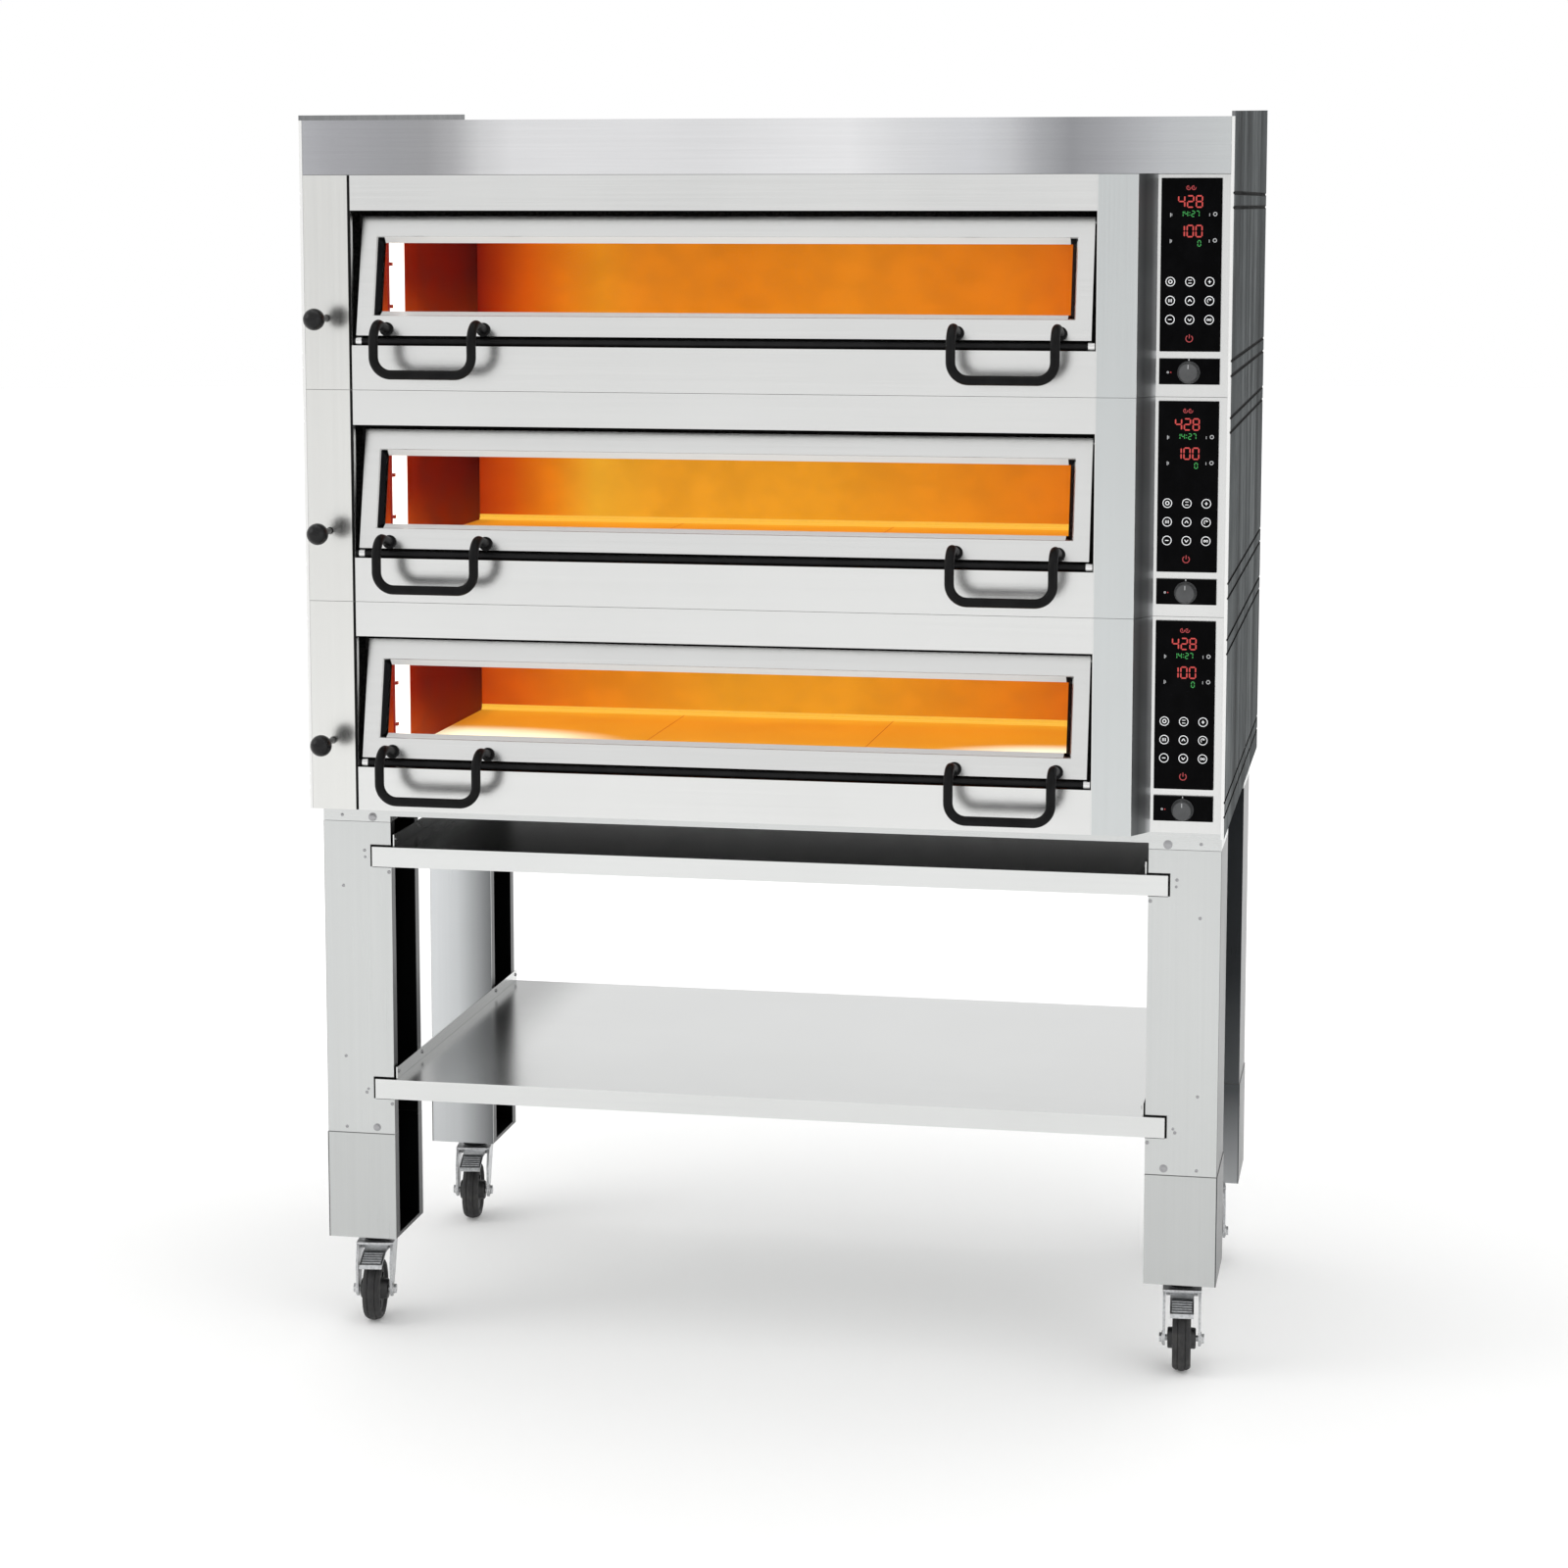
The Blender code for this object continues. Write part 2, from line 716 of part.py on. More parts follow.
# ---------------------------------------------------------------------- stand
frame_ring = box(
    "stand_top_frame",
    (-STAND_X, -STAND_Y, LEG_TOP + GAP),
    (STAND_X, STAND_Y, STAND_TOP - GAP),
    STEEL,
)
cut(
    frame_ring,
    box(
        "stand_top_hole",
        (-STAND_X + BEAM, -STAND_Y + BEAM, LEG_TOP - 0.05),
        (STAND_X - BEAM, STAND_Y - BEAM, STAND_TOP + 0.05),
        helper=True,
    ),
    box(
        "front_beam_relief",
        (-STAND_X + LEG_WIDE, -STAND_Y - 0.01, LEG_TOP - 0.05),
        (STAND_X - LEG_WIDE, STAND_Y + 0.01, BEAM_LOW),
        helper=True,
    ),
    box(
        "side_beam_relief",
        (-STAND_X - 0.01, -STAND_Y + LEG_DEEP, LEG_TOP - 0.05),
        (STAND_X + 0.01, STAND_Y - LEG_DEEP, BEAM_LOW),
        helper=True,
    ),
)


def channel(outer, inner, front, back, skin, lip):
    """Outline of a leg: a box section left open along its inner side, with folded lips."""
    turn = 1 if inner > outer else -1
    return [
        (outer, front),
        (inner, front),
        (inner, front + lip),
        (inner - turn * SHEET, front + lip),
        (inner - turn * SHEET, front + skin),
        (outer + turn * skin, front + skin),
        (outer + turn * skin, back - skin),
        (inner - turn * SHEET, back - skin),
        (inner - turn * SHEET, back - lip),
        (inner, back - lip),
        (inner, back),
        (outer, back),
    ]


def leg(name, side, end):
    outer = side * STAND_X
    inner = side * (STAND_X - LEG_WIDE)
    front = -STAND_Y if end < 0 else STAND_Y - LEG_DEEP
    back = front + LEG_DEEP
    obj = outline(
        name, channel(outer, inner, front, back, SHEET, LEG_LIP), "XY", LEG_LOW, LEG_TOP - GAP, STEEL
    )
    sleeve = outline(
        name + "_sleeve",
        channel(
            outer + side * SLEEVE,
            inner,
            front - SLEEVE,
            back + SLEEVE,
            SHEET + SLEEVE / 2,
            LEG_LIP + SLEEVE,
        ),
        "XY",
        LEG_LOW,
        LEG_SEAM,
        helper=True,
    )
    plate = box(
        name + "_caster_plate",
        (min(outer, inner), front, LEG_LOW),
        (max(outer, inner), back, LEG_LOW + 0.006),
        helper=True,
    )
    return fuse(obj, sleeve, plate)


def shelf(name, top):
    """A tray-shaped shelf whose front edge runs out in front of the legs, with low side walls."""
    low = top - SHELF_LIP
    front, back = -STAND_Y - 0.0005, STAND_Y - 0.004
    obj = box(name, (-SHELF_X, front - 0.0015, top - SHELF_SKIN), (SHELF_X, back, top), STEEL)
    pieces = [
        ("front", (-SHELF_EDGE_X, front - 0.003, low), (SHELF_EDGE_X, front, top)),
        ("back", (-SHELF_X, back - SHELF_SKIN, low), (SHELF_X, back, top)),
    ]
    for side, a, b in pieces:
        fuse(obj, box(f"{name}_{side}", a, b, helper=True))
    profile = [
        (front - 0.001, low),
        (back - 0.0005, low),
        (back - 0.0005, top + SHELF_WALL),
        (front + 0.0035, top + SHELF_WALL),
        (front + 0.0035, top - 0.0005),
        (front - 0.001, top - 0.0005),
    ]
    for side, x in (("left", -SHELF_X - 0.0003), ("right", SHELF_X - SHELF_SKIN + 0.0003)):
        fuse(obj, outline(f"{name}_{side}", profile, "YZ", x, x + SHELF_SKIN, helper=True))
    return obj


shelf("upper_shelf", UPPER_SHELF_TOP)
shelf("lower_shelf", LOWER_SHELF_TOP)


# -------------------------------------------------------------------- casters
def caster(place, x, y, yaw):
    tag = f"caster_{place}_"
    swivel = pivot(tag + "swivel", (x, y, 0), yaw)
    turn = swivel.matrix_world.copy()
    wheel_at = turn @ Vector((0, -TRAIL, WHEEL_R))

    # fork: bearing head, crown, two arms and the axle between them
    fork = turned(
        tag + "fork",
        [
            (0.0, HEAD_TOP),
            (HEAD_R, HEAD_TOP),
            (HEAD_R, 0.137),
            (HEAD_R - 0.004, CROWN_HIGH - 0.001),
            (0.0, CROWN_HIGH - 0.001),
        ],
        20,
        ZINC,
    )
    fork.matrix_world = turn
    crown = box(
        tag + "crown",
        (-ARM_X - ARM_THICK - 0.0006, -0.0296, CROWN_LOW),
        (ARM_X + ARM_THICK + 0.0006, 0.0266, CROWN_HIGH),
        frame=turn,
        helper=True,
    )
    fuse(fork, crown)
    for side, a in (("left", -ARM_X - ARM_THICK), ("right", ARM_X)):
        tip = []
        for i in range(7):
            angle = math.pi * i / 6
            tip.append((-TRAIL - 0.013 * math.cos(angle), WHEEL_R - 0.013 * math.sin(angle)))
        arm = outline(
            tag + f"arm_{side}",
            [(0.026, CROWN_HIGH - 0.001), (-0.029, CROWN_HIGH - 0.001), (-0.043, 0.100), *tip, (0.012, 0.106)],
            "YZ",
            a,
            a + ARM_THICK,
            helper=True,
        )
        arm.matrix_world = turn @ arm.matrix_world
        fuse(fork, arm)
    centre = Vector((0, -TRAIL, WHEEL_R))
    for part, radius, half, sides in (("axle", AXLE_R, 0.0330, 12), ("bolt", 0.008, 0.0, 6)):
        if half:
            fuse(
                fork,
                rod(
                    tag + part,
                    radius,
                    turn @ (centre - Vector((half, 0, 0))),
                    turn @ (centre + Vector((half, 0, 0))),
                    sides=sides,
                    helper=True,
                ),
            )
            continue
        for side in (-1, 1):
            fuse(
                fork,
                rod(
                    tag + f"{part}_{'left' if side < 0 else 'right'}",
                    radius,
                    turn @ (centre + Vector((side * (ARM_X + ARM_THICK - 0.001), 0, 0))),
                    turn @ (centre + Vector((side * (ARM_X + ARM_THICK + 0.0055), 0, 0))),
                    sides=sides,
                    helper=True,
                ),
            )
    hang(fork, swivel)

    # wheel: rubber tyre, rim and hub round the axle
    edge = WHEEL_WIDE / 2
    half = [
        (BORE_R, HUB_WIDE / 2),
        (HUB_R, HUB_WIDE / 2),
        (HUB_R + 0.002, edge - 0.004),
        (WHEEL_R - 0.014, edge - 0.003),
        (WHEEL_R - 0.010, edge),
        (WHEEL_R - 0.004, edge - 0.001),
        (WHEEL_R, edge - 0.007),
    ]
    ring = half + [(r, -z) for r, z in reversed(half)]
    wheel = turned(tag + "wheel", ring + [ring[0]], 28, RUBBER)
    wheel.matrix_world = (
        Matrix.Translation(wheel_at)
        @ Matrix.Rotation(yaw, 4, "Z")
        @ Matrix.Rotation(math.pi / 2, 4, "Y")
    )
    hang(wheel, swivel)

    # brake pedal: a pressed plate on a pin across the fork
    knee, tip_y, drop = -0.030, -0.074, 0.012
    pivot_at = Vector((0, PEDAL_PIVOT_Y, PEDAL_PIVOT_Z))
    pedal = outline(
        tag + "brake_pedal",
        [
            (PEDAL_PIVOT_Y + 0.004, PEDAL_PIVOT_Z - 0.0035),
            (PEDAL_PIVOT_Y + 0.004, PEDAL_PIVOT_Z + 0.0035),
            (knee, PEDAL_PIVOT_Z + 0.0030),
            (tip_y, PEDAL_PIVOT_Z + 0.0030 - drop),
            (tip_y - 0.004, PEDAL_PIVOT_Z - 0.0030 - drop),
            (tip_y - 0.001, PEDAL_PIVOT_Z - 0.0040 - drop),
            (tip_y + 0.001, PEDAL_PIVOT_Z - 0.0005 - drop),
            (knee, PEDAL_PIVOT_Z - 0.0005),
        ],
        "YZ",
        -0.019,
        0.019,
        ZINC,
    )
    pin = rod(
        tag + "pedal_pin",
        0.0035,
        Vector((-ARM_X + 0.0008, PEDAL_PIVOT_Y, PEDAL_PIVOT_Z)),
        Vector((ARM_X - 0.0008, PEDAL_PIVOT_Y, PEDAL_PIVOT_Z)),
        sides=10,
        helper=True,
    )
    bpy.context.view_layer.update()
    pin.matrix_world = turn @ pin.matrix_world
    pedal.matrix_world = turn @ pedal.matrix_world
    set_origin(pedal, turn @ pivot_at)
    fuse(pedal, pin)
    hang(pedal, swivel)


CASTER_X = STAND_X - LEG_WIDE / 2
CASTER_Y = STAND_Y - LEG_DEEP / 2
for where, sx, sy, yaw in (
    ("front_left", -1, -1, 8.0),
    ("front_right", 1, -1, 4.0),
    ("rear_left", -1, 1, 8.0),
    ("rear_right", 1, 1, 6.0),
):
    leg("leg_" + where, sx, sy)
    caster(where, sx * CASTER_X, sy * CASTER_Y, math.radians(yaw))

# the pieces that never move hang from one empty at the oven's origin
base = pivot("oven_base", (0, 0, 0))
for piece in list(PARTS.objects):
    if piece.type != "EMPTY" and piece.parent is None:
        hang(piece, base)
bpy.context.view_layer.update()
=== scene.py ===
import json
import math

import bmesh
import bpy
from mathutils import Matrix, Vector


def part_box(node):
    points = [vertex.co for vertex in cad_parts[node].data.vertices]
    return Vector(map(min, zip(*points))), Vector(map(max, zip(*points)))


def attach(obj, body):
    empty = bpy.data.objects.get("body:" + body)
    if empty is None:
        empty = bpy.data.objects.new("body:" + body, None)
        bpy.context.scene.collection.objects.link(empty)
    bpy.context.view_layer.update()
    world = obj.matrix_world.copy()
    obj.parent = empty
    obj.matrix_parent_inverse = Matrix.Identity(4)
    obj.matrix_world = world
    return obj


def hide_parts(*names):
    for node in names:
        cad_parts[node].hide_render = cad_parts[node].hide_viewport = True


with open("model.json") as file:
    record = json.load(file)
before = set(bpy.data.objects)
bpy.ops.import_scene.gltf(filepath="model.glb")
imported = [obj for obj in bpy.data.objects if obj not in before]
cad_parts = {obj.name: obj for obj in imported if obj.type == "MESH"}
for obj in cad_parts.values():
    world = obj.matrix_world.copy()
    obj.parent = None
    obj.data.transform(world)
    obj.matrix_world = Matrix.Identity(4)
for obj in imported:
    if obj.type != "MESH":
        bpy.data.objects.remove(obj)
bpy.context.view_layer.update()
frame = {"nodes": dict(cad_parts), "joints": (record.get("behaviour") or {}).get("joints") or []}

scene = bpy.context.scene
nodes = frame["nodes"]
BODY = "oven_body"

# ------------------------------------------------------------ places, from the CAD
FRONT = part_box("hood")[0].y                       # plane of the fascias
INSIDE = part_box("hood")[1].x                      # inner faces of the side panels
HOOD_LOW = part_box("hood")[0].z
DECKS = (1, 2, 3)
LOW = {d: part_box(f"deck_{d}_front_frame")[0].z - 0.0003 for d in DECKS}
HEARTH = {d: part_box(f"deck_{d}_hearth_stone") for d in DECKS}
STRIP = FRONT + 0.045                             # control strip's face
PANEL_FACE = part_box("deck_1_touch_panel")[0].y    # face of the black glass
TILT = math.radians(12.8)
PLACES = {"front_left": 8.0, "front_right": 4.0, "rear_left": 8.0, "rear_right": 6.0}
LEG_SEAM = 0.333
SHELF_WALL = 0.020                                # side walls above the shelves


def door_frame_matrix(low):
    return Matrix.Translation((0, FRONT + 0.002, low + 0.087)) @ Matrix.Rotation(-TILT, 4, "X")


# ------------------------------------------------------------------------ materials
class Paint:
    """A node material. Object coordinates are the row frame's metres on every piece."""

    def __init__(self, name):
        self.made = bpy.data.materials.new(name)
        self.made.use_nodes = True
        self.tree = self.made.node_tree
        self.shader = self.tree.nodes["Principled BSDF"]
        self.place = self.node("ShaderNodeTexCoord").outputs["Object"]
        apart = self.node("ShaderNodeSeparateXYZ")
        self.tree.links.new(self.place, apart.inputs[0])
        self.x, self.y, self.z = apart.outputs[0], apart.outputs[1], apart.outputs[2]

    def node(self, kind, **settings):
        made = self.tree.nodes.new(kind)
        for key, value in settings.items():
            setattr(made, key, value)
        return made

    def feed(self, socket, value):
        if isinstance(value, bpy.types.NodeSocket):
            self.tree.links.new(value, socket)
        else:
            socket.default_value = value

    def math(self, kind, a, b=0.0, clamp=False):
        made = self.node("ShaderNodeMath", operation=kind, use_clamp=clamp)
        self.feed(made.inputs[0], a)
        self.feed(made.inputs[1], b)
        return made.outputs[0]

    def add(self, a, b):
        return self.math("ADD", a, b)

    def times(self, a, b):
        return self.math("MULTIPLY", a, b)

    def flip(self, a):
        return self.math("SUBTRACT", 1.0, a, clamp=True)

    def size(self, a):
        return self.math("ABSOLUTE", a)

    def mix(self, amount, a, b, kind="MIX"):
        made = self.node("ShaderNodeMix", data_type="RGBA", blend_type=kind)
        self.feed(made.inputs[0], amount)
        for socket, value in ((made.inputs[6], a), (made.inputs[7], b)):
            if isinstance(value, tuple) and len(value) == 3:
                value = (*value, 1.0)
            self.feed(socket, value)
        return made.outputs[2]

    def scaled(self, colour, amount):
        """The colour times a number."""
        made = self.node("ShaderNodeVectorMath", operation="SCALE")
        if isinstance(colour, tuple):
            made.inputs[0].default_value = colour[:3]
        else:
            self.tree.links.new(colour, made.inputs[0])
        self.feed(made.inputs["Scale"], amount)
        return made.outputs[0]

    def grain(self, scale, detail=3.0, rough=0.5, kind="noise"):
        """Noise between 0 and 1, with cells per metre along each axis."""
        mapped = self.node("ShaderNodeMapping")
        self.tree.links.new(self.place, mapped.inputs["Vector"])
        mapped.inputs["Scale"].default_value = scale
        if kind == "cells":
            made = self.node("ShaderNodeTexVoronoi")
            made.inputs["Scale"].default_value = 1.0
            self.tree.links.new(mapped.outputs[0], made.inputs["Vector"])
            return made.outputs["Distance"]
        made = self.node("ShaderNodeTexNoise")
        made.inputs["Scale"].default_value = 1.0
        made.inputs["Detail"].default_value = detail
        made.inputs["Roughness"].default_value = rough
        self.tree.links.new(mapped.outputs[0], made.inputs["Vector"])
        return made.outputs["Fac"]

    def fit(self, value, a, b, c=0.0, d=1.0, smooth=True):
        """value from a to b becomes c to d, held beyond both ends."""
        made = self.node("ShaderNodeMapRange", clamp=True)
        made.interpolation_type = "SMOOTHSTEP" if smooth else "LINEAR"
        self.feed(made.inputs[0], value)
        for i, number in enumerate((a, b, c, d)):
            made.inputs[i + 1].default_value = number
        return made.outputs[0]

    def band(self, value, low, high, soft=0.0005):
        """1 between low and high, 0 outside."""
        return self.times(
            self.fit(value, low - soft, low + soft), self.fit(value, high - soft, high + soft, 1.0, 0.0)
        )

    def ramp(self, value, stops):
        made = self.node("ShaderNodeValToRGB")
        self.feed(made.inputs[0], value)
        line = made.color_ramp
        while len(line.elements) > 1:
            line.elements.remove(line.elements[-1])
        line.elements[0].position = stops[0][0]
        line.elements[0].color = (*stops[0][1], 1.0)
        for at, colour in stops[1:]:
            line.elements.new(at).color = (*colour, 1.0)
        return made.outputs[0]

    def bump(self, height, strength, distance):
        made = self.node("ShaderNodeBump")
        made.inputs["Strength"].default_value = strength
        made.inputs["Distance"].default_value = distance
        self.tree.links.new(height, made.inputs["Height"])
        self.tree.links.new(made.outputs[0], self.shader.inputs["Normal"])

    def set(self, **values):
        for key, value in values.items():
            key = key.replace("_", " ")
            if isinstance(value, tuple) and len(value) == 3:
                value = (*value, 1.0)
            self.feed(self.shader.inputs[key], value)
        return self


def steel(name, tone=(0.665, 0.668, 0.662), rough=0.22, upright=False, shade=None, columns=False, marks=1.0):
    """Brushed stainless steel. shade(paint, tone) may change the tone by place; the shade functions paint shade,
    highlight and reflection into it.
    """
    p = Paint(name)
    if upright:
        fine = p.grain((1100, 1100, 5), 2.0)
        coarse = p.grain((150, 150, 1.2), 3.0)
    else:
        fine = p.grain((5, 1100, 1100), 2.0)
        coarse = p.grain((1.2, 150, 150), 3.0)
    if columns:
        side = p.flip(p.band(p.x, -0.6582, 0.5342, 0.0002))
        fine_up = p.grain((1100, 1100, 5), 2.0)
        coarse_up = p.grain((150, 150, 1.2), 3.0)
        fine = p.add(p.times(side, fine_up), p.times(p.flip(side), fine))
        coarse = p.add(p.times(side, coarse_up), p.times(p.flip(side), coarse))
    cloud = p.grain((2.6, 2.6, 2.6), 3.0)
    smear = p.grain((9.0, 9.0, 5.0), 4.0, 0.6)
    level = p.add(
        p.add(p.fit(coarse, 0.25, 0.75, -0.014, 0.014, False), p.fit(cloud, 0.3, 0.7, -0.016, 0.016)),
        p.fit(fine, 0.2, 0.8, -0.020, 0.020, False),
    )
    colour = tone if shade is None else shade(p, tone)
    dull = p.times(p.band(p.x, 0.5965, 0.6222, 0.0004), 0.30) if columns else 0.0
    p.set(
        Base_Color=p.scaled(colour, p.add(level, 1.0)),
        # the window's bevels are made non-metal so that their painted highlight stays pale
        Metallic=p.flip(bevels(p)) if shade is door_painted_light else 1.0,
        Roughness=p.add(
            dull,
            p.add(
            p.add(p.fit(fine, 0.2, 0.8, rough - 0.03, rough + 0.03, False), p.fit(smear, 0.35, 0.7, -0.010 * marks, 0.020 * marks)),
            p.fit(cloud, 0.3, 0.7, -0.012 * marks, 0.012 * marks),
            ),
        ),
    )
    p.bump(fine, 0.035, 0.0004)
    return p.made


def front_shade(p, tone):
    """Warmer left column, greyer right column; painted shade on the slope into the control recess."""
    colour = p.mix(p.fit(p.x, -0.6580, -0.6584, 0.0, 1.0), tone, (0.672, 0.672, 0.655))
    column = p.band(p.x, 0.5345, 0.5958, 0.0004)
    colour = p.mix(column, colour, (0.548, 0.568, 0.570))
    # painted shade: the slope into the control recess is dark by the column and grades to the fascia tone by the strip
    slope = p.ramp(
        p.fit(p.x, 0.5958, 0.6225, 0.0, 1.0, False),
        [(0.0, (0.19, 0.197, 0.20)), (0.35, (0.13, 0.135, 0.138)), (0.70, (0.24, 0.246, 0.25)), (0.88, (0.52, 0.53, 0.54)), (1.0, (0.64, 0.65, 0.66))],
    )
    recess = p.times(p.band(p.x, 0.5958, 0.6222, 0.0004), p.band(p.y, FRONT + 0.0005, STRIP + 0.02, 0.0004))
    return p.mix(recess, colour, slope)


def hood_painted_reflection(p, tone):
    # painted reflection: darker and lighter bands across the hood stand in for the reflection of its surroundings
    colour = p.ramp(
        p.fit(p.x, -0.735, 0.735, 0.0, 1.0, False),
        [
            (0.0, (0.415, 0.42, 0.44)), (0.035, (0.37, 0.372, 0.39)), (0.10, (0.335, 0.338, 0.352)), (0.14, (0.335, 0.336, 0.346)),
            (0.17, (0.42, 0.42, 0.43)), (0.20, (0.60, 0.60, 0.61)), (0.235, (0.70, 0.70, 0.71)), (0.45, (0.715, 0.715, 0.725)),
            (0.60, (0.765, 0.765, 0.775)), (0.66, (0.665, 0.668, 0.68)), (0.735, (0.605, 0.61, 0.63)), (0.77, (0.53, 0.534, 0.55)),
            (0.80, (0.385, 0.39, 0.405)), (0.835, (0.285, 0.289, 0.303)), (0.87, (0.345, 0.349, 0.365)), (0.935, (0.49, 0.50, 0.515)),
            (1.0, (0.545, 0.562, 0.567)),
        ],
    )
    return colour


def leg_shade(p, tone):
    """Painted shade: the hollow inside of each folded leg and the outer side faces are dark, and the front faces of the
    rear legs carry painted shade and painted reflection gradients; the seam is a dark line.
    """
    ax, ay = p.size(p.x), p.size(p.y)
    inside = p.times(p.band(ax, 0.6165, 0.7312, 0.0002), p.band(ay, 0.2228, 0.3722, 0.0002))
    lower = p.times(p.band(ax, 0.6165, 0.7325, 0.0002), p.band(ay, 0.2228, 0.3727, 0.0002))
    # painted shade inside the hollow of each leg
    colour = p.mix(p.math("MAXIMUM", inside, lower), tone, (0.030, 0.031, 0.033))
    # painted shade across the rear left leg's front face, painted reflection down the rear right one
    rear_face = p.band(p.y, 0.2180, 0.2206, 0.0002)
    rear_left_painted_shade = p.ramp(p.fit(p.x, -0.722, -0.622, 0.0, 1.0, False), [(0.0, (0.62, 0.635, 0.645)), (0.4, (0.55, 0.565, 0.575)), (1.0, (0.20, 0.205, 0.21))])
    colour = p.mix(p.times(rear_face, p.fit(p.x, -0.60, -0.59, 1.0, 0.0)), colour, rear_left_painted_shade)
    rear_right_painted_reflection = p.ramp(p.fit(p.z, 0.156, 0.840, 0.0, 1.0, False), [(0.0, (0.42, 0.43, 0.44)), (0.24, (0.10, 0.105, 0.11)), (0.55, (0.035, 0.037, 0.040)), (1.0, (0.022, 0.024, 0.026))])
    colour = p.mix(p.times(rear_face, p.fit(p.x, 0.59, 0.60)), colour, rear_right_painted_reflection)
    # painted shade on the outer side faces
    colour = p.mix(p.fit(ax, 0.7334, 0.7337), colour, (0.070, 0.073, 0.076))
    seam = p.band(p.z, LEG_SEAM - 0.0004, LEG_SEAM + 0.0010, 0.0003)
    colour = p.scaled(colour, p.fit(p.z, LEG_SEAM - 0.002, LEG_SEAM + 0.002, 0.92, 1.0))
    return p.mix(p.times(seam, 0.75), colour, (0.10, 0.10, 0.10))


def shelf_shade(p, tone):
    """Painted reflection of the dark parts above: darker toward the left end of the lower shelf's top and all over the
    top of the covered upper one.
    """
    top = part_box("lower_shelf")[1].z - SHELF_WALL
    lower = p.times(p.band(p.z, top - 0.0004, top + 0.0004, 0.0002), p.fit(p.x, -0.58, -0.44, 0.50, 0.0))
    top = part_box("upper_shelf")[1].z - SHELF_WALL
    upper = p.times(p.band(p.z, top - 0.0004, top + 0.0004, 0.0002), 0.60)
    return p.scaled(tone, p.flip(p.math("MAXIMUM", lower, upper)))


def bevels(p):
    """1 on the window's bevels and behind them, 0 on the door's outer face."""
    found = None
    for d in DECKS:
        face = door_frame_matrix(LOW[d]) @ Vector((0, 0, 0))
        depth = p.math("SUBTRACT", p.y, p.add(p.times(p.math("SUBTRACT", p.z, face.z), math.tan(TILT)), face.y))
        one = p.times(p.fit(depth, 0.0006, 0.0012), p.band(p.z, LOW[d] + 0.108, LOW[d] + 0.254, 0.0004))
        found = one if found is None else p.math("MAXIMUM", found, one)
    return p.times(found, p.band(p.x, -0.6122, 0.4883, 0.0002))


def door_painted_light(p, tone):
    """Painted light: the upper and lower bevels of the window are painted pale as a highlight, the side ones near-black
    as shade.
    """
    # painted highlight on the upper and lower bevels
    tone = p.mix(bevels(p), tone, (0.74, 0.74, 0.735))
    # painted shade on the side bevels
    left = p.band(p.x, -0.6228, -0.6125, 0.0002)
    right = p.band(p.x, 0.4885, 0.4988, 0.0002)
    behind = p.fit(p.y, FRONT + 0.0005, FRONT + 0.0015)
    tall = None
    for d in DECKS:
        one = p.band(p.z, LOW[d] + 0.120, LOW[d] + 0.2425, 0.0004)
        tall = one if tall is None else p.math("MAXIMUM", tall, one)
    return p.mix(p.times(p.times(p.math("MAXIMUM", left, right), tall), behind), tone, (0.012, 0.012, 0.013))


def side_steel_painted_shade():
    """Side sheet with painted shade: its outer face is painted dark and streaked, with near-black bands over its
    grooves, while its front edge and inner face are bright; the inner face above the hood is painted darker.
    """
    p = Paint("side_panel_steel_painted_shade")
    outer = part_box("side_panel_right")[1].x
    streak = p.grain((75, 75, 2.2), 4.0, 0.6)
    wide = p.grain((14, 14, 1.1), 3.0)
    mottle = p.grain((40, 40, 18), 3.0)
    fine = p.grain((1000, 1000, 6), 2.0)
    # painted shade: the outer face is dark, streaked along its height
    tone = p.ramp(
        p.add(p.times(streak, 0.55), p.times(wide, 0.45)),
        [(0.34, (0.060, 0.063, 0.064)), (0.46, (0.098, 0.103, 0.105)), (0.54, (0.135, 0.142, 0.144)), (0.66, (0.215, 0.224, 0.226))],
    )
    tone = p.scaled(tone, p.fit(mottle, 0.3, 0.7, 0.88, 1.12, False))
    lines = None
    for d in DECKS:
        for offset in (0.035, 0.058, 0.290, 0.312):
            one = p.band(p.z, LOW[d] + offset - 0.0030, LOW[d] + offset + 0.0030, 0.0004)
            lines = one if lines is None else p.math("MAXIMUM", lines, one)
    # painted shade: near-black bands over the grooves and along the outer edge
    painted_groove_shade = p.math("MAXIMUM", p.band(p.size(p.x), outer - 0.0014, outer - 0.0004, 0.0001), p.times(lines, 0.93))
    tone = p.mix(painted_groove_shade, tone, (0.004, 0.004, 0.004))
    # painted shade on the inner face above the hood
    above_hood_painted_shade = p.fit(p.z, 1.9945, 1.9955)
    bright = p.scaled(p.mix(above_hood_painted_shade, (0.80, 0.80, 0.79), (0.20, 0.205, 0.21)), p.fit(fine, 0.2, 0.8, 0.97, 1.03, False))
    inner = p.math("MAXIMUM", p.fit(p.size(p.x), outer - 0.0022, outer - 0.0016, 1.0, 0.0), p.fit(p.y, FRONT + 0.0001, FRONT + 0.0004, 1.0, 0.0))
    p.set(
        Base_Color=p.mix(inner, tone, bright),
        Metallic=1.0,
        Roughness=p.add(p.fit(fine, 0.2, 0.8, 0.36, 0.44, False), p.fit(streak, 0.3, 0.7, -0.03, 0.05)),
        Specular_Tint=p.mix(inner, p.scaled(tone, 1.9), (1.0, 1.0, 1.0)),
    )
    p.bump(fine, 0.06, 0.0004)
    return p.made


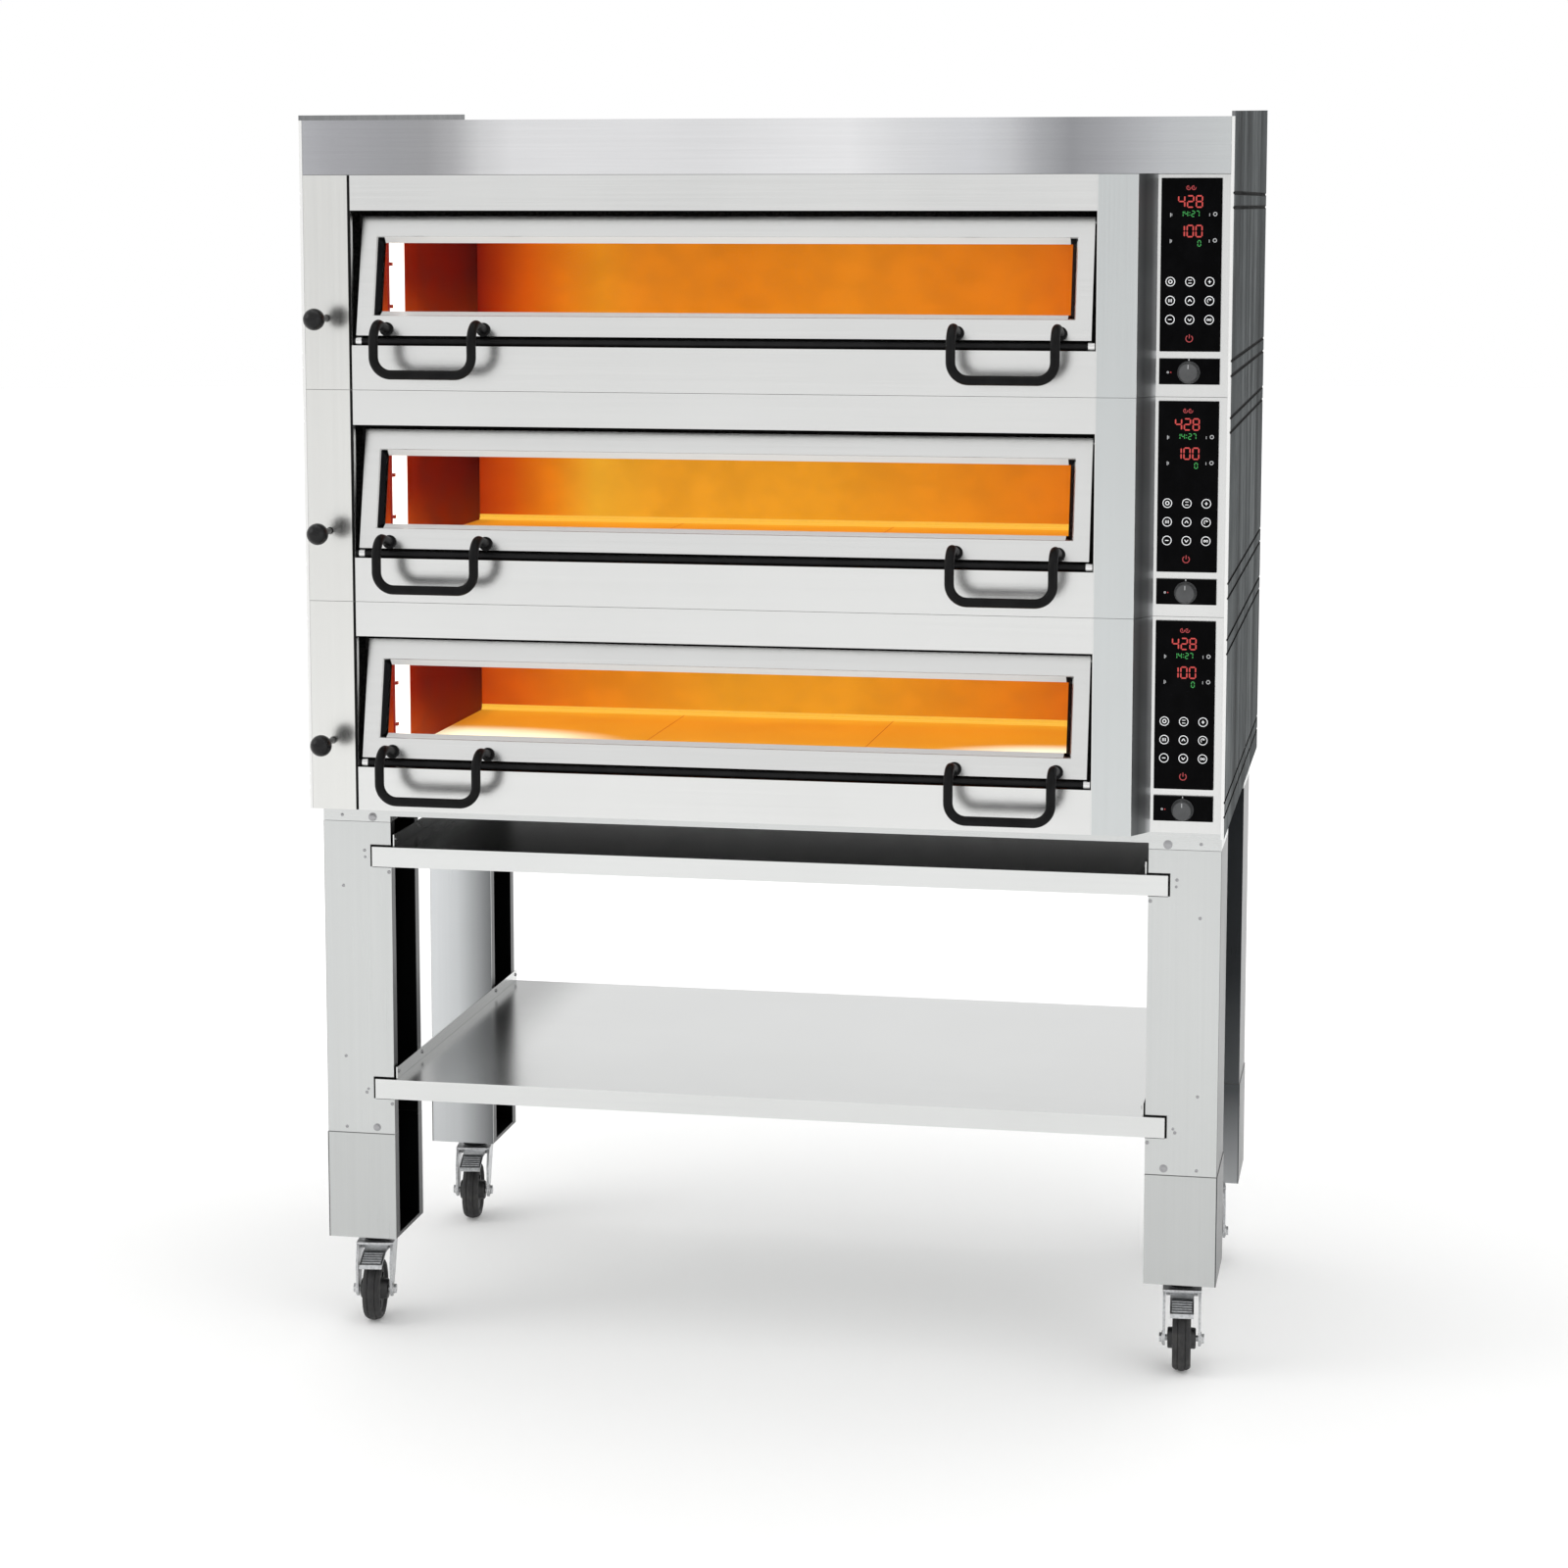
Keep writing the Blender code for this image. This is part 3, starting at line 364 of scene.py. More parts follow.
def lining(deck):
    """Chamber lining: painted light inside, an orange emission graded over the walls and roof that stands in for the
    lit chamber and its shade; dark sheet outside.
    """
    p = Paint(f"chamber_lining_{deck}")
    lo, hi = HEARTH[deck]
    left, right, near, back, floor = lo.x - 0.002, hi.x + 0.002, lo.y - 0.002, hi.y + 0.002, hi.z
    cavity = p.times(p.band(p.y, near - 0.0008, back + 0.0012, 0.0003), p.band(p.z, floor - 0.029, floor + 0.1832, 0.0003))
    mouth = p.times(p.band(p.y, near - 0.060, near - 0.0008, 0.0003), p.band(p.z, floor - 0.0004, floor + 0.1705, 0.0003))
    face = door_frame_matrix(LOW[deck]) @ Vector((0, 0.035, 0))
    depth = p.math("SUBTRACT", p.y, p.add(p.times(p.math("SUBTRACT", p.z, face.z), math.tan(TILT)), face.y))
    inside = p.times(
        p.times(p.band(p.x, left - 0.0012, right + 0.0012, 0.0002), p.math("MAXIMUM", cavity, mouth)),
        p.fit(depth, 0.0012, 0.0020),
    )
    up = p.fit(p.z, floor, floor + 0.182, 0.0, 1.0, False)
    blotch = p.grain((16, 16, 22), 4.0, 0.6)
    dust = p.grain((260, 260, 260), 3.0)
    along = p.fit(p.x, left, right, 0.0, 1.0, False)
    if deck == 1:
        stops = [
            (0.00, (0.20, 0.004, 0.001)), (0.035, (0.40, 0.030, 0.001)), (0.085, (0.66, 0.095, 0.002)),
            (0.14, (0.80, 0.190, 0.006)), (0.20, (0.82, 0.270, 0.011)), (0.26, (0.80, 0.235, 0.010)),
            (0.42, (0.79, 0.220, 0.008)), (0.60, (0.82, 0.245, 0.010)), (0.85, (0.79, 0.200, 0.008)), (1.0, (0.66, 0.110, 0.006)),
        ]
    elif deck == 2:
        stops = [
            (0.00, (0.42, 0.030, 0.001)), (0.05, (0.62, 0.075, 0.002)), (0.12, (0.82, 0.210, 0.006)),
            (0.19, (0.88, 0.400, 0.025)), (0.30, (0.86, 0.340, 0.018)), (0.55, (0.86, 0.330, 0.016)),
            (0.80, (0.82, 0.240, 0.010)), (0.93, (0.78, 0.190, 0.008)), (1.0, (0.62, 0.100, 0.005)),
        ]
    else:
        stops = [
            (0.00, (0.50, 0.050, 0.002)), (0.06, (0.66, 0.100, 0.004)), (0.18, (0.80, 0.210, 0.008)),
            (0.40, (0.84, 0.320, 0.016)), (0.60, (0.84, 0.310, 0.015)), (0.85, (0.78, 0.200, 0.008)), (1.0, (0.62, 0.100, 0.006)),
        ]
    # painted light on the rear wall, dimmer toward the roof
    rear = p.scaled(
        p.ramp(along, stops),
        p.times(p.fit(blotch, 0.3, 0.7, 0.86, 0.98), p.fit(up, 0.0, 1.0, 1.10, 0.90, False)),
    )
    # painted light on the side walls: dim red fading toward the back, brighter orange low by the front
    flank = p.ramp(
        p.fit(p.y, near, back, 0.0, 1.0, False),
        [(0.0, (0.30, 0.014, 0.003)), (0.05, (0.36, 0.025, 0.005)), (0.14, (0.30, 0.010, 0.001)), (0.35, (0.17, 0.003, 0.0005)), (0.75, (0.12, 0.001, 0.0005)), (1.0, (0.055, 0.001, 0.0005))],
    )
    flank = p.mix(
        p.times(p.fit(up, 0.0, 0.55, 1.0, 0.0), p.fit(p.y, near, near + 0.30, 1.0, 0.15)), flank, (0.62, 0.075, 0.003)
    )
    flank = p.scaled(flank, p.fit(blotch, 0.3, 0.7, 0.74, 0.98))
    # painted light on the roof, brighter toward the back
    roof = p.ramp(p.fit(p.y, near, back, 0.0, 1.0, False), [(0.0, (0.10, 0.010, 0.001)), (1.0, (0.45, 0.070, 0.004))])
    wall = p.math("MAXIMUM", p.fit(p.x, left + 0.0004, left + 0.0015, 1.0, 0.0), p.fit(p.x, right - 0.0015, right - 0.0004))
    top = p.fit(p.z, floor + 0.1802, floor + 0.1814)
    painted_glow = p.mix(top, p.mix(wall, rear, flank), roof)
    shell = p.mix(p.fit(dust, 0.4, 0.6), (0.012, 0.012, 0.012), (0.028, 0.027, 0.026))
    p.set(
        Base_Color=p.mix(inside, shell, p.mix(p.fit(dust, 0.35, 0.65), (0.012, 0.003, 0.0015), (0.022, 0.006, 0.003))),
        Metallic=0.0,
        Roughness=p.fit(dust, 0.3, 0.7, 0.55, 0.75, False),
        Specular_IOR_Level=0.02,
        Emission_Color=painted_glow,
        Emission_Strength=p.times(inside, 1.0),
    )
    p.bump(dust, 0.12, 0.0006)
    return p.made


def hearth(deck):
    """Refractory slab; the light on it from the lamp and the heating rods is painted on as emission."""
    p = Paint(f"hearth_stone_{deck}")
    lo, hi = HEARTH[deck]
    pores = p.grain((420, 420, 420), 4.0, 0.6)
    patch = p.grain((9, 14, 9), 3.0)
    base = p.mix(p.fit(pores, 0.35, 0.65), (0.30, 0.21, 0.11), (0.42, 0.31, 0.18))
    deep = p.fit(p.y, lo.y, hi.y, 0.0, 1.0, False)
    # painted light: brighter at the front and at the back edge of the slab
    painted_glow = p.ramp(
        deep,
        [(0.0, (0.98, 0.66, 0.10)), (0.22, (0.93, 0.46, 0.030)), (0.50, (0.88, 0.34, 0.014)), (0.85, (0.86, 0.30, 0.012)), (0.985, (0.90, 0.38, 0.02)), (1.0, (0.98, 0.62, 0.10))],
    )
    # painted shade: dimmer by the left wall
    left_wall_painted_shade = p.fit(p.x, lo.x, lo.x + 0.05, 0.70, 1.0)
    # painted pools of light: one by the lamp, one at the far end
    def painted_pool(x, y, wide, long):
        dx = p.times(p.math("SUBTRACT", p.x, x), 1.0 / wide)
        dy = p.times(p.math("SUBTRACT", p.y, y), 1.0 / long)
        far = p.add(p.times(dx, dx), p.times(dy, dy))
        return p.fit(far, 0.0, 1.0, 1.0, 0.0)

    one = painted_pool(-0.55, -0.17, 0.30, 0.17)
    two = painted_pool(0.46, -0.17, 0.25, 0.14)
    strength = {1: 0.6, 2: 0.5, 3: 1.0}[deck]
    painted_glow = p.mix(p.times(one, strength), painted_glow, (1.60, 1.50, 1.05))
    painted_glow = p.mix(p.times(two, strength), painted_glow, (1.45, 1.35, 1.00))
    p.set(
        Base_Color=base,
        Roughness=p.fit(pores, 0.3, 0.7, 0.75, 0.95, False),
        Specular_IOR_Level=0.10,
        Emission_Color=p.scaled(painted_glow, p.times(left_wall_painted_shade, p.fit(patch, 0.3, 0.7, 0.95, 1.04))),
        Emission_Strength=0.85,
    )
    p.bump(pores, 0.25, 0.0008)
    return p.made


def glass():
    p = Paint("oven_door_glass")
    film = p.grain((14, 14, 6), 4.0, 0.6)
    p.set(
        Base_Color=p.mix(p.fit(film, 0.3, 0.7), (0.985, 0.985, 0.975), (0.96, 0.965, 0.955)),
        Roughness=p.fit(film, 0.35, 0.75, 0.0, 0.03),
        Transmission_Weight=1.0,
        IOR=1.10,
    )
    return p.made


def coat(name, tone, rough, peel=900.0, strength=0.10, weight=0.0, spread=0.25, shine=0.5):
    """Powder coat or moulded plastic: a fine orange peel, slightly worn tone."""
    p = Paint(name)
    skin = p.grain((peel, peel, peel), 3.0)
    worn = p.grain((30, 30, 30), 4.0, 0.6)
    light = tuple(c * (1 + spread) + 0.002 for c in tone)
    dark = tuple(c * (1 - spread) for c in tone)
    p.set(
        Base_Color=p.mix(p.fit(worn, 0.3, 0.7), dark, light),
        Roughness=p.add(p.fit(skin, 0.3, 0.7, rough - 0.03, rough + 0.03, False), p.fit(worn, 0.4, 0.7, 0.0, 0.06)),
        Specular_IOR_Level=shine,
        Coat_Weight=weight,
        Coat_Roughness=0.12,
    )
    p.bump(skin, strength, 0.0003)
    return p.made


def black_glass():
    p = Paint("black_touch_glass")
    smear = p.grain((45, 45, 30), 4.0, 0.65)
    p.set(
        Base_Color=p.mix(p.fit(smear, 0.35, 0.7), (0.0010, 0.0010, 0.0012), (0.0022, 0.0022, 0.0026)),
        Roughness=p.fit(smear, 0.35, 0.7, 0.05, 0.13),
        Specular_IOR_Level=0.03,
    )
    return p.made


def zinc(black_above=None):
    p = Paint("zinc_plate" if black_above is None else "zinc_plate_black_head")
    spangle = p.grain((220, 220, 220), kind="cells")
    haze = p.grain((60, 60, 60), 4.0)
    tone = p.mix(p.fit(spangle, 0.1, 0.8), (0.46, 0.47, 0.48), (0.60, 0.61, 0.62))
    metal = 1.0
    if black_above is not None:
        head = p.fit(p.z, black_above, black_above + 0.0003)
        tone = p.mix(head, tone, (0.012, 0.012, 0.013))
        metal = p.flip(head)
    p.set(
        Base_Color=tone,
        Metallic=metal,
        Roughness=p.add(p.fit(haze, 0.3, 0.7, 0.30, 0.46), p.fit(spangle, 0.1, 0.8, -0.03, 0.03, False)),
    )
    p.bump(haze, 0.05, 0.0004)
    return p.made


def rubber():
    p = Paint("caster_tyre_rubber")
    grit = p.grain((700, 700, 700), 3.0)
    worn = p.grain((50, 50, 50), 4.0)
    p.set(
        Base_Color=p.mix(p.fit(worn, 0.35, 0.7), (0.016, 0.016, 0.017), (0.036, 0.035, 0.034)),
        Roughness=p.fit(grit, 0.3, 0.7, 0.62, 0.82, False),
    )
    p.bump(grit, 0.30, 0.0004)
    return p.made


def lit(name, tone, strength, base=(0.02, 0.02, 0.02)):
    """An emitting part, used for displays, prints and lamps and for painted glows: its brightness varies a little over
    its face.
    """
    p = Paint(name)
    cell = p.grain((900, 900, 900), 2.0)
    p.set(
        Base_Color=base,
        Roughness=0.35,
        Emission_Color=p.scaled(tone, p.fit(cell, 0.3, 0.7, 0.82, 1.12, False)),
        Emission_Strength=strength,
    )
    return p.made


def element_paint():
    p = Paint("heating_rod_sheath")
    scale = p.grain((300, 300, 300), 4.0, 0.6)
    p.set(
        Base_Color=p.mix(p.fit(scale, 0.35, 0.65), (0.06, 0.035, 0.025), (0.12, 0.08, 0.06)),
        Roughness=0.6,
        Metallic=0.4,
        Emission_Color=p.scaled((0.95, 0.16, 0.01), p.fit(scale, 0.3, 0.7, 0.75, 1.1)),
        Emission_Strength=0.55,
    )
    p.bump(scale, 0.2, 0.0004)
    return p.made


def rope_paint():
    p = Paint("woven_rope_seal")
    weave = p.grain((500, 500, 500), kind="cells")
    soil = p.grain((35, 35, 35), 4.0)
    p.set(
        Base_Color=p.mix(p.fit(soil, 0.35, 0.7), (0.10, 0.095, 0.085), (0.20, 0.19, 0.17)),
        Roughness=0.9,
    )
    p.bump(weave, 0.6, 0.001)
    return p.made


STEEL = steel("brushed_steel")
FRAME_STEEL = steel("front_brushed_steel", shade=front_shade, columns=True)
HOOD_STEEL = steel("hood_brushed_steel", shade=hood_painted_reflection)
DOOR_STEEL = steel("door_brushed_steel", tone=(0.695, 0.698, 0.692), rough=0.22, shade=door_painted_light)
LEG_STEEL = steel("leg_brushed_steel", tone=(0.560, 0.572, 0.568), rough=0.30, upright=True, shade=leg_shade)
SHELF_STEEL = steel("shelf_brushed_steel", tone=(0.655, 0.663, 0.658), rough=0.22, shade=shelf_shade, marks=0.25)
STAND_STEEL = steel("stand_frame_brushed_steel", tone=(0.590, 0.600, 0.596), rough=0.26)
PLAIN_STEEL = steel("hidden_sheet_steel", tone=(0.60, 0.61, 0.61), rough=0.42)
PIN_STEEL = steel("turned_pin_steel", tone=(0.72, 0.72, 0.72), rough=0.22)
SCREW_STEEL = steel("screw_steel", tone=(0.36, 0.36, 0.37), rough=0.30)
SIDE_STEEL = side_steel_painted_shade()
GLASS = glass()
BLACK_COAT = coat("black_powder_coat", (0.0045, 0.0045, 0.0048), 0.42, peel=1100.0, strength=0.10, shine=0.10)
BAR_COAT = coat("black_sill_coat", (0.005, 0.005, 0.0055), 0.40, peel=900.0, strength=0.06, shine=0.15)
BALL_PLASTIC = coat("black_phenolic", (0.004, 0.004, 0.0045), 0.26, peel=500.0, strength=0.03, shine=0.25)
KNOB_PLASTIC = coat("grey_moulded_plastic", (0.075, 0.077, 0.079), 0.50, peel=1500.0, strength=0.14, spread=0.12, shine=0.3)
# black rubber for seals and rings, also used for strips that stand in for shade in gaps (painted shade)
BLACK_SEAL_AND_SHADE = coat("black_seal_and_painted_shade", (0.003, 0.003, 0.003), 0.70, peel=700.0, strength=0.2, shine=0.10)
HUB_PLASTIC = coat("black_polyamide", (0.018, 0.018, 0.019), 0.42, peel=900.0, strength=0.10)
BLACK_GLASS = black_glass()
ZINC = zinc()
FORK_ZINC = zinc(0.1312)
RUBBER = rubber()
RED = lit("red_display_light", (1.0, 0.060, 0.050), 0.62)
DIM_RED = lit("red_key_light", (0.80, 0.045, 0.055), 0.55)
GREEN = lit("green_display_light", (0.03, 0.70, 0.10), 0.50)
# painted light: the lamp frame glows dull red as if lit inside the chamber
LAMP_FRAME = lit("lamp_frame_painted_glow", (0.24, 0.008, 0.004), 1.0)
WHITE = lit("white_key_print", (0.86, 0.88, 0.90), 0.62, (0.5, 0.5, 0.5))
DIM_WHITE = lit("grey_key_print", (0.60, 0.62, 0.64), 0.42, (0.3, 0.3, 0.3))
LAMP = lit("lamp_diffuser_glass", (1.0, 0.985, 0.94), 1.6, (0.8, 0.8, 0.78))
ELEMENT = element_paint()
ROPE = rope_paint()
REAR_STRIP_PAINTED_GLOW = lit("rear_strip_painted_glow", (0.98, 0.52, 0.055), 0.95, (0.1, 0.05, 0.02))


def dress(name, paint):
    slots = nodes[name].data.materials
    if len(slots) == 0:
        slots.append(paint)
    for i in range(len(slots)):
        slots[i] = paint


for deck in DECKS:
    tag = f"deck_{deck}_"
    dress(tag + "front_frame", FRAME_STEEL)
    dress(tag + "baking_chamber", lining(deck))
    dress(tag + "hearth_stone", hearth(deck))
    dress(tag + "sill_bar", BAR_COAT)
    dress(tag + "touch_panel", BLACK_GLASS)
    dress(tag + "switch_panel", BLACK_GLASS)
    dress(tag + "door_frame", DOOR_STEEL)
    dress(tag + "door_glass", GLASS)
for name in ("side_panel_left", "side_panel_right"):
    dress(name, SIDE_STEEL)
dress("hood", HOOD_STEEL)
dress("roof_panel", PLAIN_STEEL)
dress("back_panel", PLAIN_STEEL)
dress("stand_top_frame", STAND_STEEL)
for name in ("upper_shelf", "lower_shelf"):
    dress(name, SHELF_STEEL)
for place in PLACES:
    dress("leg_" + place, LEG_STEEL)
    dress(f"caster_{place}_fork", FORK_ZINC)
    dress(f"caster_{place}_brake_pedal", ZINC)


# ------------------------------------------------------------------------- modelling
def finished(mesh, name, paint, body, smooth=35.0, replaces=None):
    """A bmesh result as a piece of the oven."""
    data = bpy.data.meshes.new(name)
    bmesh.ops.recalc_face_normals(mesh, faces=mesh.faces)
    mesh.to_mesh(data)
    mesh.free()
    obj = bpy.data.objects.new(name, data)
    scene.collection.objects.link(obj)
    data.materials.append(paint)
    if smooth:
        data.shade_smooth()
        data.set_sharp_from_angle(angle=math.radians(smooth))
    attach(obj, body)
    if replaces:
        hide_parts(replaces)
    return obj


def filleted(corners, radius, segments):
    """A path through corners, each inner one rounded by an arc."""
    path = [Vector(corners[0])]
    for before, corner, after in zip(corners, corners[1:], corners[2:]):
        before, corner, after = Vector(before), Vector(corner), Vector(after)
        inward, outward = (before - corner).normalized(), (after - corner).normalized()
        half = inward.angle(outward) / 2
        reach = radius / math.tan(half)
        centre = corner + (inward + outward).normalized() * radius / math.sin(half)
        first, last = corner + inward * reach - centre, corner + outward * reach - centre
        sweep = first.angle(last)
        for i in range(segments + 1):
            t = i / segments
            path.append(
                centre + first * math.sin((1 - t) * sweep) / math.sin(sweep) + last * math.sin(t * sweep) / math.sin(sweep)
            )
    path.append(Vector(corners[-1]))
    return path


def tube(mesh, path, radius, sides=24, closed=False):
    """A round tube along a path, with capped ends unless the path closes on itself."""
    path = [Vector(p) for p in path]
    count = len(path)
    normal = None
    rings = []
    for i, at in enumerate(path):
        if closed:
            along = (path[(i + 1) % count] - path[i - 1]).normalized()
        else:
            along = (path[min(i + 1, count - 1)] - path[max(i - 1, 0)]).normalized()
        if normal is None:
            normal = along.orthogonal().normalized()
        normal = (normal - along * normal.dot(along)).normalized()
        across = along.cross(normal)
        rings.append(
            [
                mesh.verts.new(at + (normal * math.cos(math.tau * k / sides) + across * math.sin(math.tau * k / sides)) * radius)
                for k in range(sides)
            ]
        )
    pairs = list(zip(rings, rings[1:]))
    if closed:
        pairs.append((rings[-1], rings[0]))
    for a, b in pairs:
        for k in range(sides):
            mesh.faces.new((a[k], a[(k + 1) % sides], b[(k + 1) % sides], b[k]))
    if not closed:
        mesh.faces.new(rings[0])
        mesh.faces.new(rings[-1])
    return mesh


def lathe(mesh, profile, matrix, steps=48, ribs=0, rib=0.0, ribbed=()):
    """A closed turned body: (radius, height) pairs about local Z. Radii of zero close the ends.
    Rows in ribbed get a scalloped radius."""
    rows = []
    for i, (radius, height) in enumerate(profile):
        if radius < 1e-7:
            rows.append([mesh.verts.new(matrix @ Vector((0, 0, height)))])
            continue
        row = []
        for k in range(steps):
            angle = math.tau * k / steps
            r = radius + (rib * math.cos(ribs * angle) if i in ribbed else 0.0)
            row.append(mesh.verts.new(matrix @ Vector((r * math.cos(angle), r * math.sin(angle), height))))
        rows.append(row)
    pairs = list(zip(rows, rows[1:]))
    if len(rows[0]) > 1:
        pairs.append((rows[-1], rows[0]))
    for a, b in pairs:
        for k in range(steps):
            n = (k + 1) % steps
            if len(a) == 1:
                mesh.faces.new((a[0], b[k], b[n]))
            elif len(b) == 1:
                mesh.faces.new((a[k], a[n], b[0]))
            else:
                mesh.faces.new((a[k], a[n], b[n], b[k]))
    return mesh


def block(mesh, low, high, bevel=0.0, matrix=None, segments=2):
    low, high = Vector(low), Vector(high)
    made = bmesh.ops.create_cube(mesh, size=1.0)["verts"]
    for v in made:
        v.co = Vector(((low[i] + high[i]) / 2 + v.co[i] * (high[i] - low[i]) for i in range(3)))
    faces = list({f for v in made for f in v.link_faces})
    if bevel:
        edges = list({e for f in faces for e in f.edges})
        out = bmesh.ops.bevel(mesh, geom=edges, offset=bevel, segments=segments, profile=0.6, affect="EDGES")
        made = list({v for f in out["faces"] for v in f.verts})
        grown, front = set(made), list(made)
        while front:
            v = front.pop()
            for e in v.link_edges:
                other = e.other_vert(v)
                if other not in grown:
                    grown.add(other)
                    front.append(other)
        made = list(grown)
    if matrix is not None:
        bmesh.ops.transform(mesh, matrix=matrix, verts=made)
    return made


def plate(mesh, points, front, back):
    """A flat outline in X and Z, between two Y planes."""
    a = [mesh.verts.new((x, front, z)) for x, z in points]
    b = [mesh.verts.new((x, back, z)) for x, z in points]
    mesh.faces.new(a)
    mesh.faces.new(list(reversed(b)))
    for i in range(len(points)):
        n = (i + 1) % len(points)
        mesh.faces.new((a[i], b[i], b[n], a[n]))


def hoop(mesh, x, z, outer, inner, front, back, start=0.0, sweep=math.tau, steps=40):
    """A flat ring or an arc of one, in X and Z."""
    whole = abs(sweep - math.tau) < 1e-6
    count = steps if whole else steps + 1
    rows = []
    for k in range(count):
        angle = start + sweep * k / steps
        c, s = math.cos(angle), math.sin(angle)
        rows.append(
            [
                mesh.verts.new((x + outer * c, front, z + outer * s)),
                mesh.verts.new((x + inner * c, front, z + inner * s)),
                mesh.verts.new((x + inner * c, back, z + inner * s)),
                mesh.verts.new((x + outer * c, back, z + outer * s)),
            ]
        )
    for k in range(count if whole else count - 1):
        a, b = rows[k], rows[(k + 1) % count]
        for i in range(4):
            mesh.faces.new((a[i], a[(i + 1) % 4], b[(i + 1) % 4], b[i]))
    if not whole:
        mesh.faces.new(rows[0])
        mesh.faces.new(rows[-1])


def stroke(mesh, a, b, wide, front, back):
    """A short straight mark between two points in X and Z, with pointed ends."""
    a, b = Vector((a[0], a[1])), Vector((b[0], b[1]))
    along = (b - a).normalized()
    side = Vector((-along.y, along.x)) * wide / 2
    tip = along * wide / 2
    points = [a - tip * 0.0, a + tip + side, b - tip + side, b, b - tip - side, a + tip - side]
    plate(mesh, [(p.x, p.y) for p in points], front, back)


SEGMENTS = {
    "0": "abcdef", "1": "bc", "2": "abged", "3": "abgcd", "4": "fgbc",
    "5": "afgcd", "6": "afgedc", "7": "abc", "8": "abcdefg", "9": "abcdfg",
}


def digits(mesh, text, x, z, wide, tall, pitch, line, front, back):
    """Seven-segment numbers with their lower left corner at x, z."""
    for i, sign in enumerate(text):
        left, right, low, mid, high = x + i * pitch, x + i * pitch + wide, z, z + tall / 2, z + tall
        gap = line * 0.22
        ends = {
            "a": ((left + gap, high), (right - gap, high)),
            "b": ((right, high - gap), (right, mid + gap)),
            "c": ((right, mid - gap), (right, low + gap)),
            "d": ((left + gap, low), (right - gap, low)),
            "e": ((left, mid - gap), (left, low + gap)),
            "f": ((left, high - gap), (left, mid + gap)),
            "g": ((left + gap, mid), (right - gap, mid)),
        }
        for one in SEGMENTS[sign]:
            stroke(mesh, *ends[one], line, front, back)


def toward_front(x, y, z):
    """Local Z runs along -Y from this place."""
    return Matrix.Translation((x, y, z)) @ Matrix.Rotation(math.pi / 2, 4, "X")


def toward_back(x, y, z):
    return Matrix.Translation((x, y, z)) @ Matrix.Rotation(-math.pi / 2, 4, "X")


# ---------------------------------------------------------------------- door handles
HANDLE_X = (-0.520, 0.398)
for deck in DECKS:
    low = LOW[deck]
    tilt = door_frame_matrix(low)
    outward = (tilt.to_3x3() @ Vector((0, -1, 0))).normalized()
    foot_y = FRONT + 0.002 + (0.097 - 0.087) * math.tan(TILT)
    reach_y = FRONT - 0.0675
    for side, x in zip(("left", "right"), HANDLE_X):
        def foot(at):
            return Vector((at, foot_y, low + 0.097)) + outward * 0.0004

        def shoulder(at):
            start = foot(at)
            return start + outward * ((start.y - reach_y) / -outward.y)

        a, b = x - 0.080, x + 0.080
        path = filleted(
            [foot(a), shoulder(a), Vector((a, reach_y, low + 0.028)), Vector((b, reach_y, low + 0.028)), shoulder(b), foot(b)],
            0.028,
            16,
        )
        mesh = bmesh.new()
        tube(mesh, path, 0.0075, 32)
        turn = outward.to_track_quat("Z", "Y").to_matrix().to_4x4()
        for at in (a, b):
            lathe(
                mesh,
                [(0.0, 0.0), (0.0108, 0.0), (0.0112, 0.0004), (0.0112, 0.0022), (0.0104, 0.0030), (0.0086, 0.0034), (0.0, 0.0034)],
                Matrix.Translation(foot(at)) @ turn,
                36,
            )
        finished(
            mesh, f"deck_{deck}_handle_{side}_tube", BLACK_COAT, f"deck_{deck}_door",
            replaces=f"deck_{deck}_door_handle_{side}",
        )

# ---------------------------------------------- sill bar ends, painted shade strips in the seams, door seals
for deck in DECKS:
    low = LOW[deck]
    bar_y, bar_z = FRONT + 0.008, low + 0.078
    mesh = bmesh.new()
    for a, b in ((-0.6515, -0.6415), (0.5205, 0.5315)):
        turn = Matrix.Translation((a, bar_y, bar_z)) @ Matrix.Rotation(math.pi / 2, 4, "Y")
        long = b - a
        lathe(
            mesh,
            [(0.0051, 0.0), (0.0060, 0.0), (0.0065, 0.0005), (0.0065, long - 0.0005), (0.0060, long), (0.0051, long)],
            turn,
            32,
        )
    finished(mesh, f"deck_{deck}_sill_bushes", PIN_STEEL, BODY)

    # black strip in the joint between the left column and the fascias, standing in for the shade in the gap (painted
    # shade)
    mesh = bmesh.new()
    for z0, z1 in ((low + 0.0006, low + 0.0706), (low + 0.2854, low + 0.3404)):
        block(mesh, (-0.66145, FRONT + 0.0002, z0), (-0.65705, FRONT + 0.0022, z1))
    block(mesh, (-0.66145, FRONT + 0.0006, low + 0.0706), (-0.6576, FRONT + 0.0022, low + 0.2854))
    finished(mesh, f"deck_{deck}_left_joint_painted_shade", BLACK_SEAL_AND_SHADE, BODY, smooth=None)

    # rope seal round the mouth of the chamber, behind the door
    tilt = door_frame_matrix(low)
    lo, hi = HEARTH[deck]
    deep = 0.032 + 0.0016
    x0, x1 = lo.x - 0.012, hi.x + 0.012
    z0, z1 = 0.006, 0.1785
    ring = [tilt @ Vector((x, deep, z)) for x, z in ((x0, z0), (x1, z0), (x1, z1), (x0, z1))]
    path = []
    for i, corner in enumerate(ring):
        before, after = ring[i - 1], ring[(i + 1) % 4]
        inward, outward = (before - corner).normalized(), (after - corner).normalized()
        start, end = corner + inward * 0.012, corner + outward * 0.012
        for k in range(7):
            t = k / 6
            path.append(start * (1 - t) ** 2 + corner * 2 * t * (1 - t) + end * t * t)
    mesh = bmesh.new()
    tube(mesh, path, 0.0013, 10, closed=True)
    finished(mesh, f"deck_{deck}_mouth_seal", ROPE, BODY)

